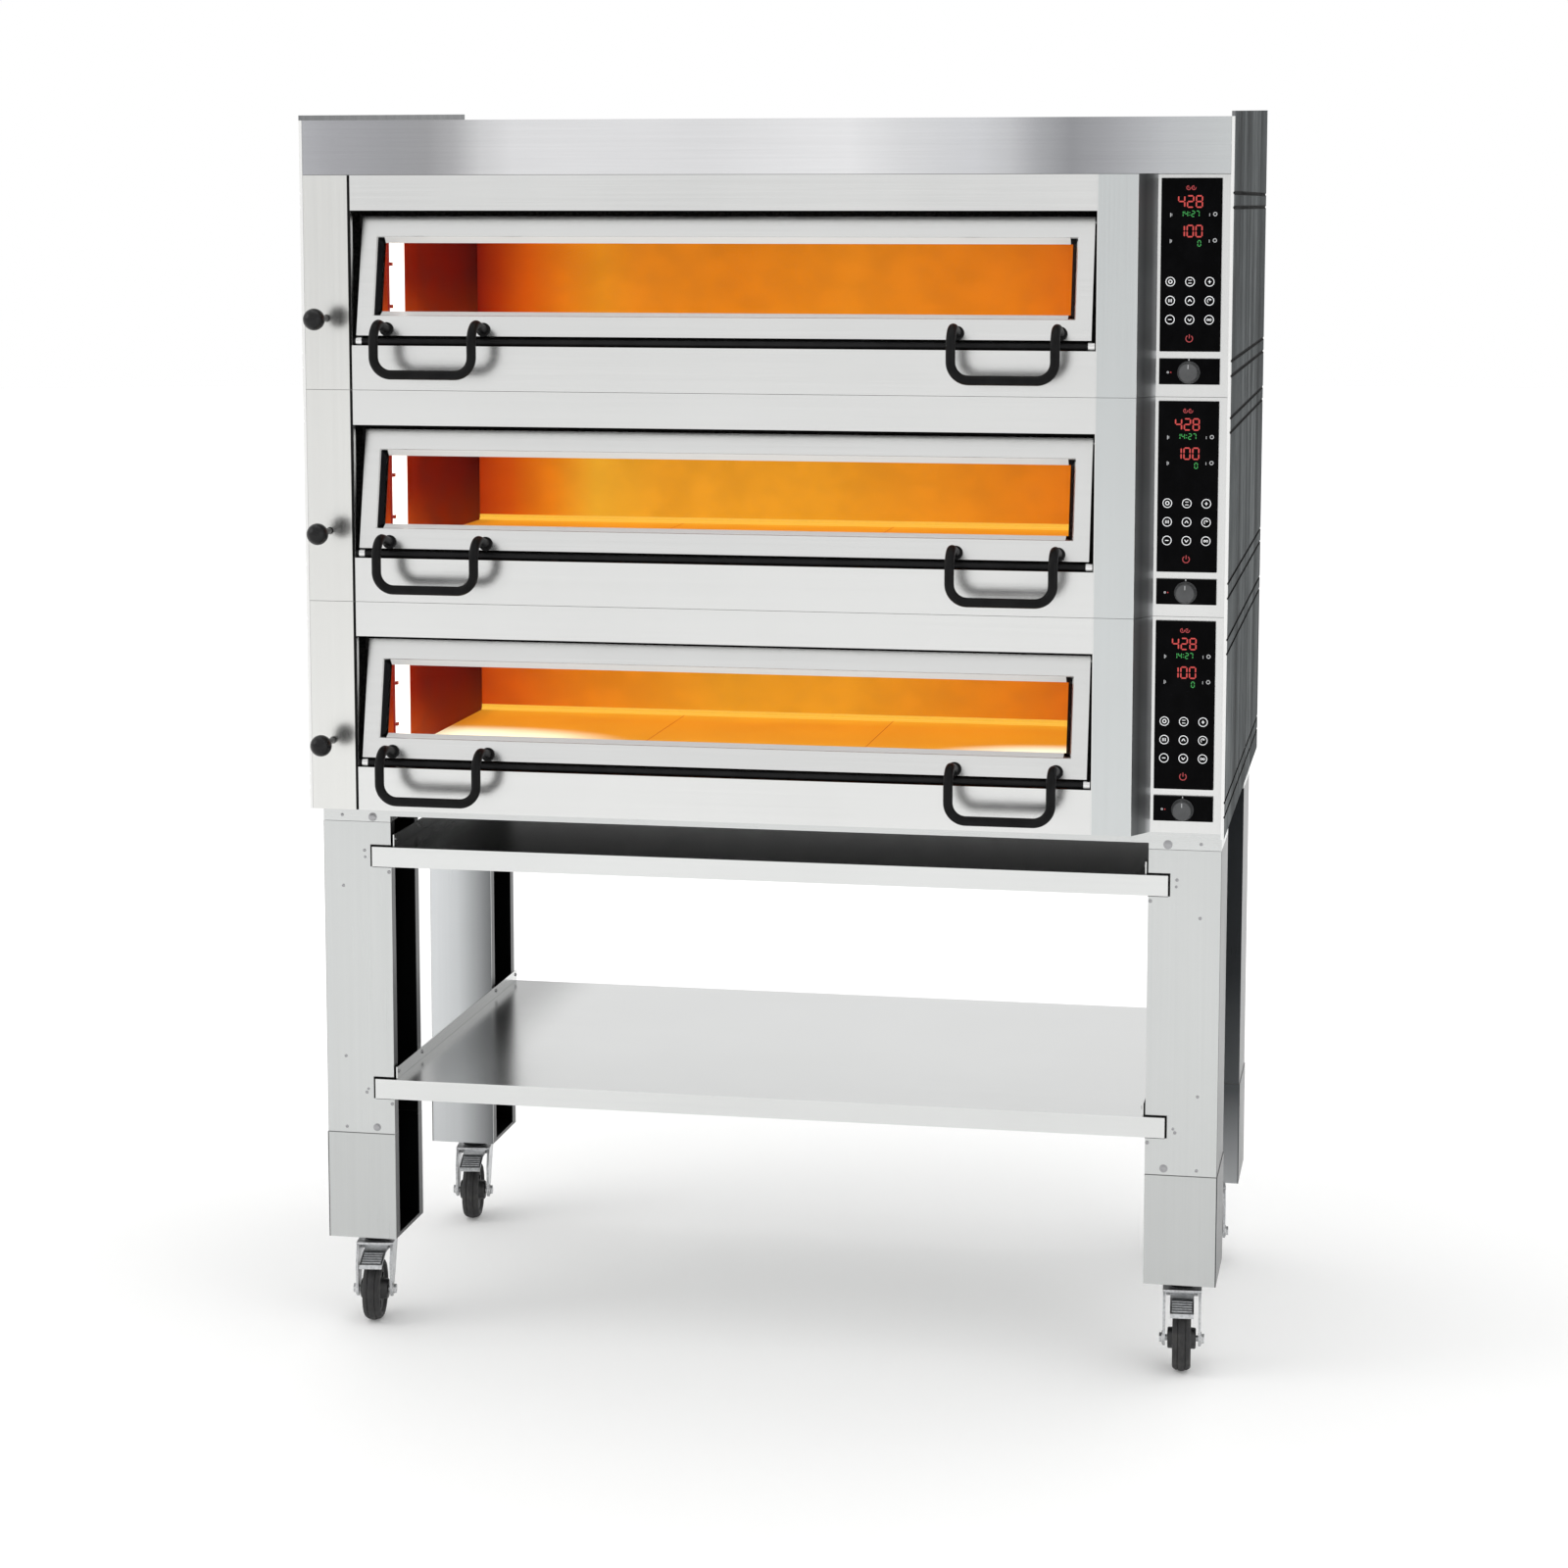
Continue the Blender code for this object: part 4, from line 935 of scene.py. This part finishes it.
# --------------------------------------------------------- inside the baking chambers
for deck in DECKS:
    lo, hi = HEARTH[deck]
    left, right, near, back, floor = lo.x - 0.002, hi.x + 0.002, lo.y - 0.002, hi.y + 0.002, hi.z
    # lamp window on the left wall: framed diffuser with two clips
    y0, y1, z0, z1 = near + 0.018, near + 0.091, floor + 0.006, floor + 0.164
    mesh = bmesh.new()
    block(mesh, (left + 0.0006, y0, z0), (left + 0.0060, y1, z1), 0.0016)
    finished(mesh, f"deck_{deck}_lamp_window", LAMP, BODY)
    # the frame and clips carry a painted glow
    mesh = bmesh.new()
    for a, b in (
        ((y0 - 0.004, z0 - 0.004), (y0 - 0.0004, z1 + 0.004)),
        ((y1 + 0.0004, z0 - 0.004), (y1 + 0.004, z1 + 0.004)),
    ):
        block(mesh, (left + 0.0004, a[0], a[1]), (left + 0.0036, b[0], b[1]), 0.0006)
    for a, b in (((y0 - 0.0002, z0 - 0.004), (y1 + 0.0002, z0 - 0.0004)), ((y0 - 0.0002, z1 + 0.0004), (y1 + 0.0002, z1 + 0.004))):
        block(mesh, (left + 0.0004, a[0], a[1]), (left + 0.0036, b[0], b[1]), 0.0006)
    for z in (z0 + 0.045, z0 + 0.113):
        block(mesh, (left + 0.0040, y0 - 0.0035, z - 0.003), (left + 0.0078, y0 + 0.0045, z + 0.003), 0.0008)
    finished(mesh, f"deck_{deck}_lamp_frame", LAMP_FRAME, BODY)

    # heating rods under the roof, joined in three hairpins, on two cross bars
    mesh = bmesh.new()
    top = floor + 0.168
    gap = (back - near - 0.10) / 5
    for k in range(3):
        ya, yb = near + 0.05 + gap * 2 * k, near + 0.05 + gap * (2 * k + 1)
        path = filleted(
            [(right - 0.002, ya, top), (left + 0.045, ya, top), (left + 0.045, yb, top), (right - 0.002, yb, top)],
            min(0.030, gap * 0.45),
            8,
        )
        tube(mesh, path, 0.0042, 14)
    finished(mesh, f"deck_{deck}_heating_rods", ELEMENT, BODY)
    mesh = bmesh.new()
    for x in (left + 0.22, (left + right) / 2, right - 0.22):
        block(mesh, (x - 0.006, near + 0.03, top + 0.0046), (x + 0.006, back - 0.02, top + 0.0070), 0.0005)
        for k in range(6):
            y = near + 0.05 + gap * k
            block(mesh, (x - 0.003, y - 0.0055, top - 0.0060), (x + 0.003, y - 0.0044, top + 0.0050))
            block(mesh, (x - 0.003, y + 0.0044, top - 0.0060), (x + 0.003, y + 0.0055, top + 0.0050))
    finished(mesh, f"deck_{deck}_rod_hangers", PIN_STEEL, BODY)

    # steel angle where the slab meets the rear wall, with a painted glow for the bright line of light along it
    mesh = bmesh.new()
    block(mesh, (left + 0.001, back - 0.0062, floor + 0.0003), (right - 0.001, back - 0.0004, floor + 0.0030), 0.0006)
    block(mesh, (left + 0.001, back - 0.0024, floor + 0.0031), (right - 0.001, back - 0.0004, floor + 0.0095), 0.0005)
    finished(mesh, f"deck_{deck}_rear_angle", REAR_STRIP_PAINTED_GLOW, BODY)
    # slab joints: the hearth is laid from stones, parted by thin dark joints
    mesh = bmesh.new()
    span = (right - left) / 3
    for k in (1, 2):
        x = left + span * k
        block(mesh, (x - 0.0007, near + 0.004, floor - 0.0005), (x + 0.0007, back - 0.007, floor + 0.0002))
    finished(mesh, f"deck_{deck}_hearth_joints", ELEMENT, BODY, smooth=None)

# ------------------------------------------------------------------------ damper pulls
for deck in DECKS:
    low = LOW[deck]
    at = (-0.6985, FRONT - 0.0626, low + 0.114)
    radius, neck = 0.0174, math.asin(0.0052 / 0.0174)
    profile = [(0.0, radius)]
    count = 36
    for i in range(1, count + 1):
        angle = (math.pi - neck) * i / count
        seam = 0.00018 if abs(angle - math.pi / 2) < 0.03 else 0.0
        profile.append(((radius - seam) * math.sin(angle), (radius - seam) * math.cos(angle)))
    profile += [(0.0054, -0.0186), (0.0052, -0.0200), (0.0050, -0.0216), (0.0050, -0.1326), (0.0, -0.1326)]
    mesh = bmesh.new()
    lathe(mesh, profile, toward_front(*at), 56)
    finished(
        mesh, f"deck_{deck}_damper_ball", BALL_PLASTIC, f"deck_{deck}_damper",
        smooth=50.0, replaces=f"deck_{deck}_damper_pull",
    )

# ------------------------------------------------------------------------ control strip
FACE = PANEL_FACE - 0.00003
PRINT = PANEL_FACE - 0.00022
for deck in DECKS:
    low = LOW[deck]
    # rotary knob with a fluted side and an inlaid pointer
    at = (0.6725, FRONT + 0.045 - 0.0042 - 0.0003, low + 0.038)
    profile = [
        (0.0, 0.01680), (0.0040, 0.01690), (0.0095, 0.01700), (0.0126, 0.01692), (0.0138, 0.01650), (0.01455, 0.0156),
        (0.0148, 0.0140), (0.0152, 0.0100), (0.0157, 0.0055), (0.0160, 0.0034), (0.0168, 0.0026),
        (0.0174, 0.0020), (0.0175, 0.0012), (0.0173, 0.0002), (0.0168, 0.0), (0.0030, 0.0), (0.0030, -0.024), (0.0, -0.024),
    ]
    mesh = bmesh.new()
    lathe(mesh, profile, toward_front(*at), 180, ribs=36, rib=0.00032, ribbed=(5, 6, 7, 8))
    finished(
        mesh, f"deck_{deck}_knob_body", KNOB_PLASTIC, f"deck_{deck}_knob",
        smooth=40.0, replaces=f"deck_{deck}_rotary_knob",
    )
    mesh = bmesh.new()
    block(mesh, (at[0] - 0.0005, at[1] - 0.01715, at[2] + 0.0060), (at[0] + 0.0005, at[1] - 0.0166, at[2] + 0.0125), 0.0001)
    finished(mesh, f"deck_{deck}_knob_pointer", DIM_WHITE, f"deck_{deck}_knob", smooth=None)

    # red and green numbers
    mesh = bmesh.new()
    digits(mesh, "428", 0.6535, low + 0.2905, 0.0092, 0.0172, 0.0135, 0.0021, PRINT, FACE)
    digits(mesh, "100", 0.6535, low + 0.2455, 0.0092, 0.0172, 0.0135, 0.0021, PRINT, FACE)
    finished(mesh, f"deck_{deck}_red_digits", RED, BODY, smooth=None)
    mesh = bmesh.new()
    digits(mesh, "14", 0.6560, low + 0.2762, 0.0045, 0.0085, 0.0070, 0.0013, PRINT, FACE)
    digits(mesh, "27", 0.6735, low + 0.2762, 0.0045, 0.0085, 0.0070, 0.0013, PRINT, FACE)
    for z in (0.2785, 0.2825):
        hoop(mesh, 0.6705, low + z, 0.0008, 0.0002, PRINT, FACE, steps=16)
    digits(mesh, "0", 0.6835, low + 0.2312, 0.0045, 0.0085, 0.0070, 0.0013, PRINT, FACE)
    finished(mesh, f"deck_{deck}_green_digits", GREEN, BODY, smooth=None)

    # red mark over the numbers and red standby mark under the keys
    mesh = bmesh.new()
    for k in (-1, 1):
        hoop(mesh, 0.6725 + 0.0040 * k, low + 0.3200, 0.0036, 0.0025, PRINT, FACE, start=math.pi * 0.5, sweep=math.pi * 1.6, steps=24)
        stroke(mesh, (0.6725 + 0.0040 * k, low + 0.3185), (0.6725 + 0.0040 * k, low + 0.3230), 0.0010, PRINT, FACE)
    hoop(mesh, 0.6725, low + 0.0900, 0.0058, 0.0045, PRINT, FACE, start=math.radians(125), sweep=math.radians(290), steps=32)
    stroke(mesh, (0.6725, low + 0.0900), (0.6725, low + 0.0968), 0.0013, PRINT, FACE)
    finished(mesh, f"deck_{deck}_red_marks", DIM_RED, BODY, smooth=None)

    # nine touch keys: a printed ring, each with its own plain mark
    mesh = bmesh.new()
    for row, z in enumerate((0.177, 0.148, 0.119)):
        for column, x in enumerate((0.6425, 0.6725, 0.7025)):
            zz = low + z
            hoop(mesh, x, zz, 0.0073, 0.0062, PRINT, FACE, steps=44)
            kind = row * 3 + column
            if kind == 0:
                hoop(mesh, x, zz, 0.0033, 0.0020, PRINT, FACE, steps=24)
            elif kind == 1:
                stroke(mesh, (x - 0.0028, zz + 0.0022), (x + 0.0028, zz + 0.0022), 0.0010, PRINT, FACE)
                stroke(mesh, (x - 0.0028, zz - 0.0022), (x + 0.0028, zz - 0.0022), 0.0010, PRINT, FACE)
            elif kind == 2:
                stroke(mesh, (x, zz - 0.0030), (x, zz + 0.0030), 0.0012, PRINT, FACE)
                stroke(mesh, (x - 0.0026, zz), (x + 0.0026, zz), 0.0012, PRINT, FACE)
            elif kind == 3:
                for k in (-1, 0, 1):
                    stroke(mesh, (x + 0.0022 * k, zz - 0.0026), (x + 0.0022 * k, zz + 0.0026), 0.0010, PRINT, FACE)
            elif kind == 4:
                stroke(mesh, (x - 0.0028, zz - 0.0018), (x, zz + 0.0024), 0.0012, PRINT, FACE)
                stroke(mesh, (x + 0.0028, zz - 0.0018), (x, zz + 0.0024), 0.0012, PRINT, FACE)
            elif kind == 5:
                hoop(mesh, x, zz, 0.0034, 0.0025, PRINT, FACE, start=0.3, sweep=math.pi * 1.2, steps=24)
                stroke(mesh, (x, zz), (x + 0.0016, zz + 0.0022), 0.0010, PRINT, FACE)
            elif kind == 6:
                stroke(mesh, (x - 0.0030, zz), (x + 0.0030, zz), 0.0013, PRINT, FACE)
            elif kind == 7:
                stroke(mesh, (x - 0.0028, zz + 0.0018), (x, zz - 0.0024), 0.0012, PRINT, FACE)
                stroke(mesh, (x + 0.0028, zz + 0.0018), (x, zz - 0.0024), 0.0012, PRINT, FACE)
            else:
                for k in (-1, 1):
                    hoop(mesh, x + 0.0019 * k, zz, 0.0019, 0.0010, PRINT, FACE, steps=20)
    # tick over the knob
    stroke(mesh, (0.6725, low + 0.0560), (0.6725, low + 0.0590), 0.0009, PRINT, FACE)
    finished(mesh, f"deck_{deck}_key_print", WHITE, BODY, smooth=None)
    mesh = bmesh.new()
    for z in (0.279, 0.239):
        stroke(mesh, (0.6415, low + z - 0.0035), (0.6415, low + z + 0.0030), 0.0012, PRINT, FACE)
        stroke(mesh, (0.6435, low + z - 0.0020), (0.6435, low + z + 0.0020), 0.0008, PRINT, FACE)
        hoop(mesh, 0.7095, low + z + 0.0010, 0.0032, 0.0020, PRINT, FACE, steps=24)
        stroke(mesh, (0.7010, low + z - 0.0025), (0.7010, low + z + 0.0025), 0.0009, PRINT, FACE)
    hoop(mesh, 0.6405, low + 0.038, 0.0017, 0.0007, PRINT, FACE, steps=24)
    finished(mesh, f"deck_{deck}_small_print", DIM_WHITE, BODY, smooth=None)
    mesh = bmesh.new()
    lathe(
        mesh,
        [(0.0, 0.0012), (0.0006, 0.0011), (0.0010, 0.0007), (0.0011, 0.0), (0.0, -0.0)],
        toward_front(0.6450, PANEL_FACE - 0.00005, low + 0.038), 20,
    )
    finished(mesh, f"deck_{deck}_indicator_led", DIM_RED, BODY)

# ------------------------------------------------------------------------ stand screws
def pan_head(mesh, matrix, radius, tall):
    """A domed screw head with a socket in it."""
    r = radius
    lathe(
        mesh,
        [
            (0.0, tall * 0.35), (r * 0.40, tall * 0.35), (r * 0.44, tall * 0.95), (r * 0.52, tall * 1.0), (r * 0.75, tall * 0.88),
            (r * 0.92, tall * 0.60), (r, tall * 0.22), (r, 0.0), (0.0, 0.0),
        ],
        matrix,
        24,
    )


def hex_head(mesh, matrix, radius, tall):
    lathe(mesh, [(0.0, tall), (radius * 0.86, tall), (radius, tall * 0.8), (radius, 0.0), (0.0, 0.0)], matrix, 6)
    lathe(mesh, [(0.0, 0.0006), (radius * 1.22, 0.0006), (radius * 1.25, 0.0), (0.0, -0.0)], matrix, 28)


for place in PLACES:
    sx = -1 if "left" in place else 1
    mesh = bmesh.new()
    front = "front" in place
    for inward, z, big in (
        (0.069, 0.810, False), (0.032, 0.750, False), (0.032, 0.463, False),
        (0.067, 0.403, False), (0.032, 0.343, False), (0.084, 0.344, True),
    ):
        x = sx * (0.734 - inward)
        y = 0.3751 if z > LEG_SEAM else 0.3763
        matrix = toward_front(x, -y, z) if front else toward_back(x, y, z)
        if big:
            hex_head(mesh, matrix, 0.0052, 0.0022)
        else:
            pan_head(mesh, matrix, 0.0026, 0.0011)
    for inward, z, big in ((0.032, 0.868, False), (0.084, 0.866, True)):
        x = sx * (0.734 - inward)
        matrix = toward_front(x, -0.3751, z) if front else toward_back(x, 0.3751, z)
        if big:
            hex_head(mesh, matrix, 0.0058, 0.0024)
        else:
            pan_head(mesh, matrix, 0.0026, 0.0011)
    finished(mesh, f"leg_{place}_screws", SCREW_STEEL, BODY)

# black strips where the shelf flanges cross the legs stand in for the shadow in the slots (painted shadow), and flange
# bolts under them
for name in ("upper_shelf", "lower_shelf"):
    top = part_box(name)[1].z - SHELF_WALL
    mesh = bmesh.new()
    for sx in (-1, 1):
        outer, inner = 0.651, 0.6195
        for (xa, xb), (za, zb) in (
            ((outer + 0.0002, outer + 0.0034), (top - 0.0335, top + 0.0030)),
            ((inner, outer + 0.0002), (top + 0.0003, top + 0.0030)),
            ((inner, outer + 0.0002), (top - 0.0345, top - 0.0333)),
        ):
            a, b = sorted((sx * xa, sx * xb))
            block(mesh, (a, -0.3762, za), (b, -0.3751, zb))
    finished(mesh, f"{name}_slot_painted_shadow", BLACK_SEAL_AND_SHADE, BODY, smooth=None)
    mesh = bmesh.new()
    for sx in (-1, 1):
        pan_head(mesh, toward_front(sx * 0.6235, -0.3751, top - 0.0420), 0.0030, 0.0014)
        pan_head(mesh, toward_front(sx * 0.6640, -0.3751, top - 0.0180), 0.0022, 0.0010)
        for y in (-0.364, -0.231, 0.231, 0.364):
            turn = Matrix.Translation((sx * 0.6146, y, top + 0.012)) @ Matrix.Rotation(-sx * math.pi / 2, 4, "Y")
            pan_head(mesh, turn, 0.0032, 0.0018)
    finished(mesh, f"{name}_bolts", SCREW_STEEL, BODY)

# ------------------------------------------------------------------------------ casters
for place, yaw in PLACES.items():
    tag = f"caster_{place}_"
    lo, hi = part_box(tag + "wheel")
    centre = (lo + hi) / 2
    spin = Matrix.Translation(centre) @ Matrix.Rotation(math.radians(yaw), 4, "Z") @ Matrix.Rotation(math.pi / 2, 4, "Y")
    r = 0.0525
    half = [
        (0.0372, 0.0088), (0.0385, 0.0118), (0.0405, 0.0141), (0.0430, 0.0149), (0.0455, 0.0147), (0.0475, 0.0136),
        (0.0492, 0.0118), (0.0503, 0.0098), (0.0510, 0.0078), (0.0511, 0.0070), (0.0502, 0.0066), (0.0502, 0.0058),
        (0.0515, 0.0054), (0.0522, 0.0030), (r, 0.0008),
    ]
    mesh = bmesh.new()
    lathe(mesh, half + [(a, -b) for a, b in reversed(half)], spin, 96)
    finished(mesh, tag + "tyre", RUBBER, tag + "rolling", smooth=30.0, replaces=tag + "wheel")
    # polyamide centre: dished disc, raised hub and rim
    half = [
        (0.0056, 0.0228), (0.0150, 0.0228), (0.0164, 0.0220), (0.0170, 0.0205), (0.0172, 0.0120), (0.0186, 0.0098),
        (0.0215, 0.0078), (0.0330, 0.0074), (0.0352, 0.0090), (0.0371, 0.0100),
    ]
    mesh = bmesh.new()
    lathe(mesh, half + [(a, -b) for a, b in reversed(half)], spin, 72)
    for k in range(6):
        angle = math.tau * k / 6
        for sign in (-1, 1):
            rib = spin @ Matrix.Rotation(angle, 4, "Z")
            za, zb = sorted((sign * 0.0070, sign * 0.0098))
            block(mesh, (0.0165, -0.0012, za), (0.0345, 0.0012, zb), 0.0004, matrix=rib)
    finished(mesh, tag + "wheel_centre", HUB_PLASTIC, tag + "rolling", smooth=35.0)
    # axle washers, on the fork
    mesh = bmesh.new()
    for side in (-1, 1):
        face = spin @ Matrix.Translation((0, 0, side * 0.0306))
        if side < 0:
            face = face @ Matrix.Rotation(math.pi, 4, "X")
        lathe(mesh, [(0.0083, 0.0), (0.0104, 0.0), (0.0107, 0.0003), (0.0107, 0.0011), (0.0103, 0.0014), (0.0083, 0.0014)], face, 36)
    finished(mesh, tag + "axle_washers", PIN_STEEL, tag + "swivel")
    # swivel bearing: cover ring round the black head
    at = Matrix.Translation(((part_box(f"leg_{place}")[0].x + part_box(f"leg_{place}")[1].x) / 2, 0, 0))
    hub_lo, hub_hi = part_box(tag + "fork")
    joint = next(j for j in frame["joints"] if j["name"] == tag + "swivel_joint")
    px, py = joint["pos_m"][0], joint["pos_m"][1]
    mesh = bmesh.new()
    lathe(
        mesh,
        [(0.0243, 0.1515), (0.0262, 0.1512), (0.0270, 0.1500), (0.0272, 0.1460), (0.0268, 0.1440), (0.0250, 0.1428), (0.0243, 0.1428)],
        Matrix.Translation((px, py, 0)), 56,
    )
    finished(mesh, tag + "bearing_ring", BLACK_SEAL_AND_SHADE, tag + "swivel")
    # four plate bolts, heads under the leg's base plate
    mesh = bmesh.new()
    for dx in (-0.040, 0.040):
        for dy in (-0.040, 0.040):
            down = Matrix.Translation((px + dx, py + dy, 0.1544)) @ Matrix.Rotation(math.pi, 4, "X")
            hex_head(mesh, down, 0.0062, 0.0046)
    finished(mesh, tag + "plate_bolts", SCREW_STEEL, BODY)
    # ribbed grip on the brake pedal
    yaw_at = Matrix.Translation((px, py, 0)) @ Matrix.Rotation(math.radians(yaw), 4, "Z")
    mesh = bmesh.new()
    slope = math.atan2(0.012, 0.044)
    for k in range(5):
        y = -0.040 - 0.0068 * k
        z = 0.118 + (y + 0.030) * math.tan(slope)
        block(mesh, (-0.0160, y - 0.0012, z - 0.0002), (0.0160, y + 0.0012, z + 0.0011), 0.0004, matrix=yaw_at)
    finished(mesh, tag + "pedal_ribs", ZINC, tag + "brake")

# ----------------------------------------------------------------- back and roof
back_lo, back_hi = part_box("back_panel")
mesh = bmesh.new()
for deck in DECKS:
    low = LOW[deck]
    for x in (-0.50, 0.50):
        for k in range(7):
            z = low + 0.105 + 0.018 * k
            points = []
            for i in range(7):
                angle = math.pi / 2 * i / 6
                points.append((back_hi.y + 0.0002 + 0.0055 * math.sin(angle), z + 0.0085 * (1 - math.cos(angle)) / 1.0))
            # a pressed louvre: a quarter-round hood, open at its lower edge
            rows = []
            for end in (-0.062, 0.062):
                for grow in (0,):
                    rows.append([mesh.verts.new((x + end, y, zz)) for y, zz in points])
            inner = []
            for end in (-0.0608, 0.0608):
                inner.append([mesh.verts.new((x + end, back_hi.y + 0.0002 + max(y - back_hi.y - 0.0014, 0.0), max(zz - 0.0008, z))) for y, zz in points])
            a, b = rows
            c, d = inner
            for i in range(6):
                mesh.faces.new((a[i], a[i + 1], b[i + 1], b[i]))
                mesh.faces.new((c[i], d[i], d[i + 1], c[i + 1]))
                mesh.faces.new((a[i], c[i], c[i + 1], a[i + 1]))
                mesh.faces.new((b[i], b[i + 1], d[i + 1], d[i]))
            mesh.faces.new((a[0], b[0], d[0], c[0]))
            mesh.faces.new((a[6], c[6], d[6], b[6]))
finished(mesh, "back_louvres", PLAIN_STEEL, BODY)

mesh = bmesh.new()
for z in (0.90, 1.225, 1.566, 1.935):
    for k in range(9):
        pan_head(mesh, toward_back(-0.715 + 1.430 * k / 8, back_hi.y + 0.0001, z), 0.0042, 0.0020)
finished(mesh, "back_screws", SCREW_STEEL, BODY)

roof_lo, roof_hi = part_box("roof_panel")
mesh = bmesh.new()
for y in (roof_lo.y + 0.020, (roof_lo.y + roof_hi.y) / 2, roof_hi.y - 0.020):
    for k in range(7):
        x = -0.710 + 1.420 * k / 6
        if abs(x) < 0.05 and abs(y - 0.1) < 0.1:
            continue
        pan_head(mesh, Matrix.Translation((x, y, roof_hi.z + 0.0001)), 0.0042, 0.0020)
finished(mesh, "roof_screws", SCREW_STEEL, BODY)

# cable gland in the back panel, closed: the oven is shown without a mains cable
mesh = bmesh.new()
gland = toward_back(0.62, back_hi.y + 0.0001, 0.945)
lathe(mesh, [(0.0, 0.0), (0.0165, 0.0), (0.0165, 0.0018), (0.0, 0.0018)], gland, 6)
lathe(
    mesh,
    [(0.0060, 0.0019), (0.0140, 0.0019), (0.0140, 0.0075), (0.0132, 0.0105), (0.0110, 0.0140), (0.0085, 0.0155), (0.0060, 0.0155)],
    gland, 40, ribs=20, rib=0.0003, ribbed=(1, 2),
)
lathe(mesh, [(0.0, 0.0020), (0.0058, 0.0020), (0.0058, 0.0130), (0.0, 0.0134)], gland, 28)
finished(mesh, "cable_gland", HUB_PLASTIC, BODY)

# terminal cover over the gland
mesh = bmesh.new()
block(mesh, (0.30, back_hi.y + 0.0002, 0.905), (0.56, back_hi.y + 0.0115, 0.985), 0.003)
for x in (0.315, 0.545):
    for z in (0.920, 0.970):
        pan_head(mesh, toward_back(x, back_hi.y + 0.0116, z), 0.0034, 0.0018)
finished(mesh, "terminal_cover", PLAIN_STEEL, BODY)

# ---------------------------------------------------------------------- floor and light
def floor_paint():
    p = Paint("studio_floor")
    speck = p.grain((90, 90, 90), 3.0)
    far = p.math("SQRT", p.add(p.times(p.x, p.x), p.times(p.y, p.y)))
    p.set(
        Base_Color=p.mix(p.fit(speck, 0.3, 0.7), (0.90, 0.90, 0.895), (0.93, 0.93, 0.925)),
        Roughness=0.75,
        Specular_IOR_Level=0.2,
        # painted light: the floor glows, more with distance, so it fades into the white backdrop
        Emission_Color=(1.0, 1.0, 1.0),
        Emission_Strength=p.fit(far, 1.2, 5.0, 0.10, 0.24),
    )
    p.bump(speck, 0.02, 0.0005)
    return p.made


mesh = bmesh.new()
bmesh.ops.create_circle(mesh, cap_ends=True, radius=30.0, segments=96)
data = bpy.data.meshes.new("studio_floor")
mesh.to_mesh(data)
mesh.free()
floor_obj = bpy.data.objects.new("studio_floor", data)
scene.collection.objects.link(floor_obj)
data.materials.append(floor_paint())

world = bpy.data.worlds.new("studio_world")
scene.world = world
world.use_nodes = True
tree = world.node_tree
tree.nodes.clear()
out = tree.nodes.new("ShaderNodeOutputWorld")
seen = tree.nodes.new("ShaderNodeBackground")
seen.inputs["Color"].default_value = (1.0, 1.0, 1.0, 1.0)
seen.inputs["Strength"].default_value = 1.0
lighting = tree.nodes.new("ShaderNodeBackground")
lighting.inputs["Strength"].default_value = 0.99
coordinate = tree.nodes.new("ShaderNodeTexCoord")
apart = tree.nodes.new("ShaderNodeSeparateXYZ")
ramp = tree.nodes.new("ShaderNodeValToRGB")
shift = tree.nodes.new("ShaderNodeMath")
shift.operation = "MULTIPLY_ADD"
shift.inputs[1].default_value = 0.5
shift.inputs[2].default_value = 0.5
tree.links.new(coordinate.outputs["Generated"], apart.inputs[0])
tree.links.new(apart.outputs[2], shift.inputs[0])
tree.links.new(shift.outputs[0], ramp.inputs[0])
line = ramp.color_ramp
line.elements[0].position, line.elements[0].color = 0.30, (0.90, 0.905, 0.91, 1.0)
line.elements[1].position, line.elements[1].color = 0.55, (1.0, 1.0, 1.0, 1.0)
tree.links.new(ramp.outputs[0], lighting.inputs["Color"])
path = tree.nodes.new("ShaderNodeLightPath")
choose = tree.nodes.new("ShaderNodeMixShader")
tree.links.new(path.outputs["Is Camera Ray"], choose.inputs[0])
tree.links.new(lighting.outputs[0], choose.inputs[1])
tree.links.new(seen.outputs[0], choose.inputs[2])
tree.links.new(choose.outputs[0], out.inputs[0])


def softbox(name, at, aim, wide, tall, power, tone=(1.0, 1.0, 1.0)):
    data = bpy.data.lights.new(name, "AREA")
    data.shape = "RECTANGLE"
    data.size, data.size_y = wide, tall
    data.energy = power
    data.color = tone
    lamp = bpy.data.objects.new(name, data)
    scene.collection.objects.link(lamp)
    lamp.location = at
    lamp.rotation_euler = (Vector(aim) - Vector(at)).to_track_quat("-Z", "Y").to_euler()
    return lamp


softbox("key_softbox", (-5.4, -2.4, 4.2), (0, 0, 1.0), 3.0, 3.0, 46.0, (1.0, 0.99, 0.975))
softbox("fill_softbox", (4.2, -3.4, 2.4), (0, 0, 1.0), 2.5, 3.0, 16.0, (0.97, 0.985, 1.0))
softbox("top_softbox", (0, 0.4, 5.2), (0, 0, 1.0), 4.0, 3.0, 40.0)

# ------------------------------------------------------------------------------- camera
camera_data = bpy.data.cameras.new("camera")
camera_data.sensor_width = 36.0
camera_data.lens = 78.87
camera_data.shift_x = 0.0
camera_data.shift_y = -0.10
camera_data.clip_end = 200.0
camera = bpy.data.objects.new("camera", camera_data)
scene.collection.objects.link(camera)
azimuth, pitch = math.radians(-10.90), math.radians(7.02)
forward = Vector((math.sin(azimuth) * math.cos(pitch), math.cos(azimuth) * math.cos(pitch), -math.sin(pitch)))
camera.location = (1.062, -5.699, 1.863)
camera.rotation_euler = forward.to_track_quat("-Z", "Y").to_euler()
scene.camera = camera

scene.view_settings.view_transform = "Standard"
scene.view_settings.look = "None"
scene.view_settings.exposure = 0.0
scene.view_settings.gamma = 1.0
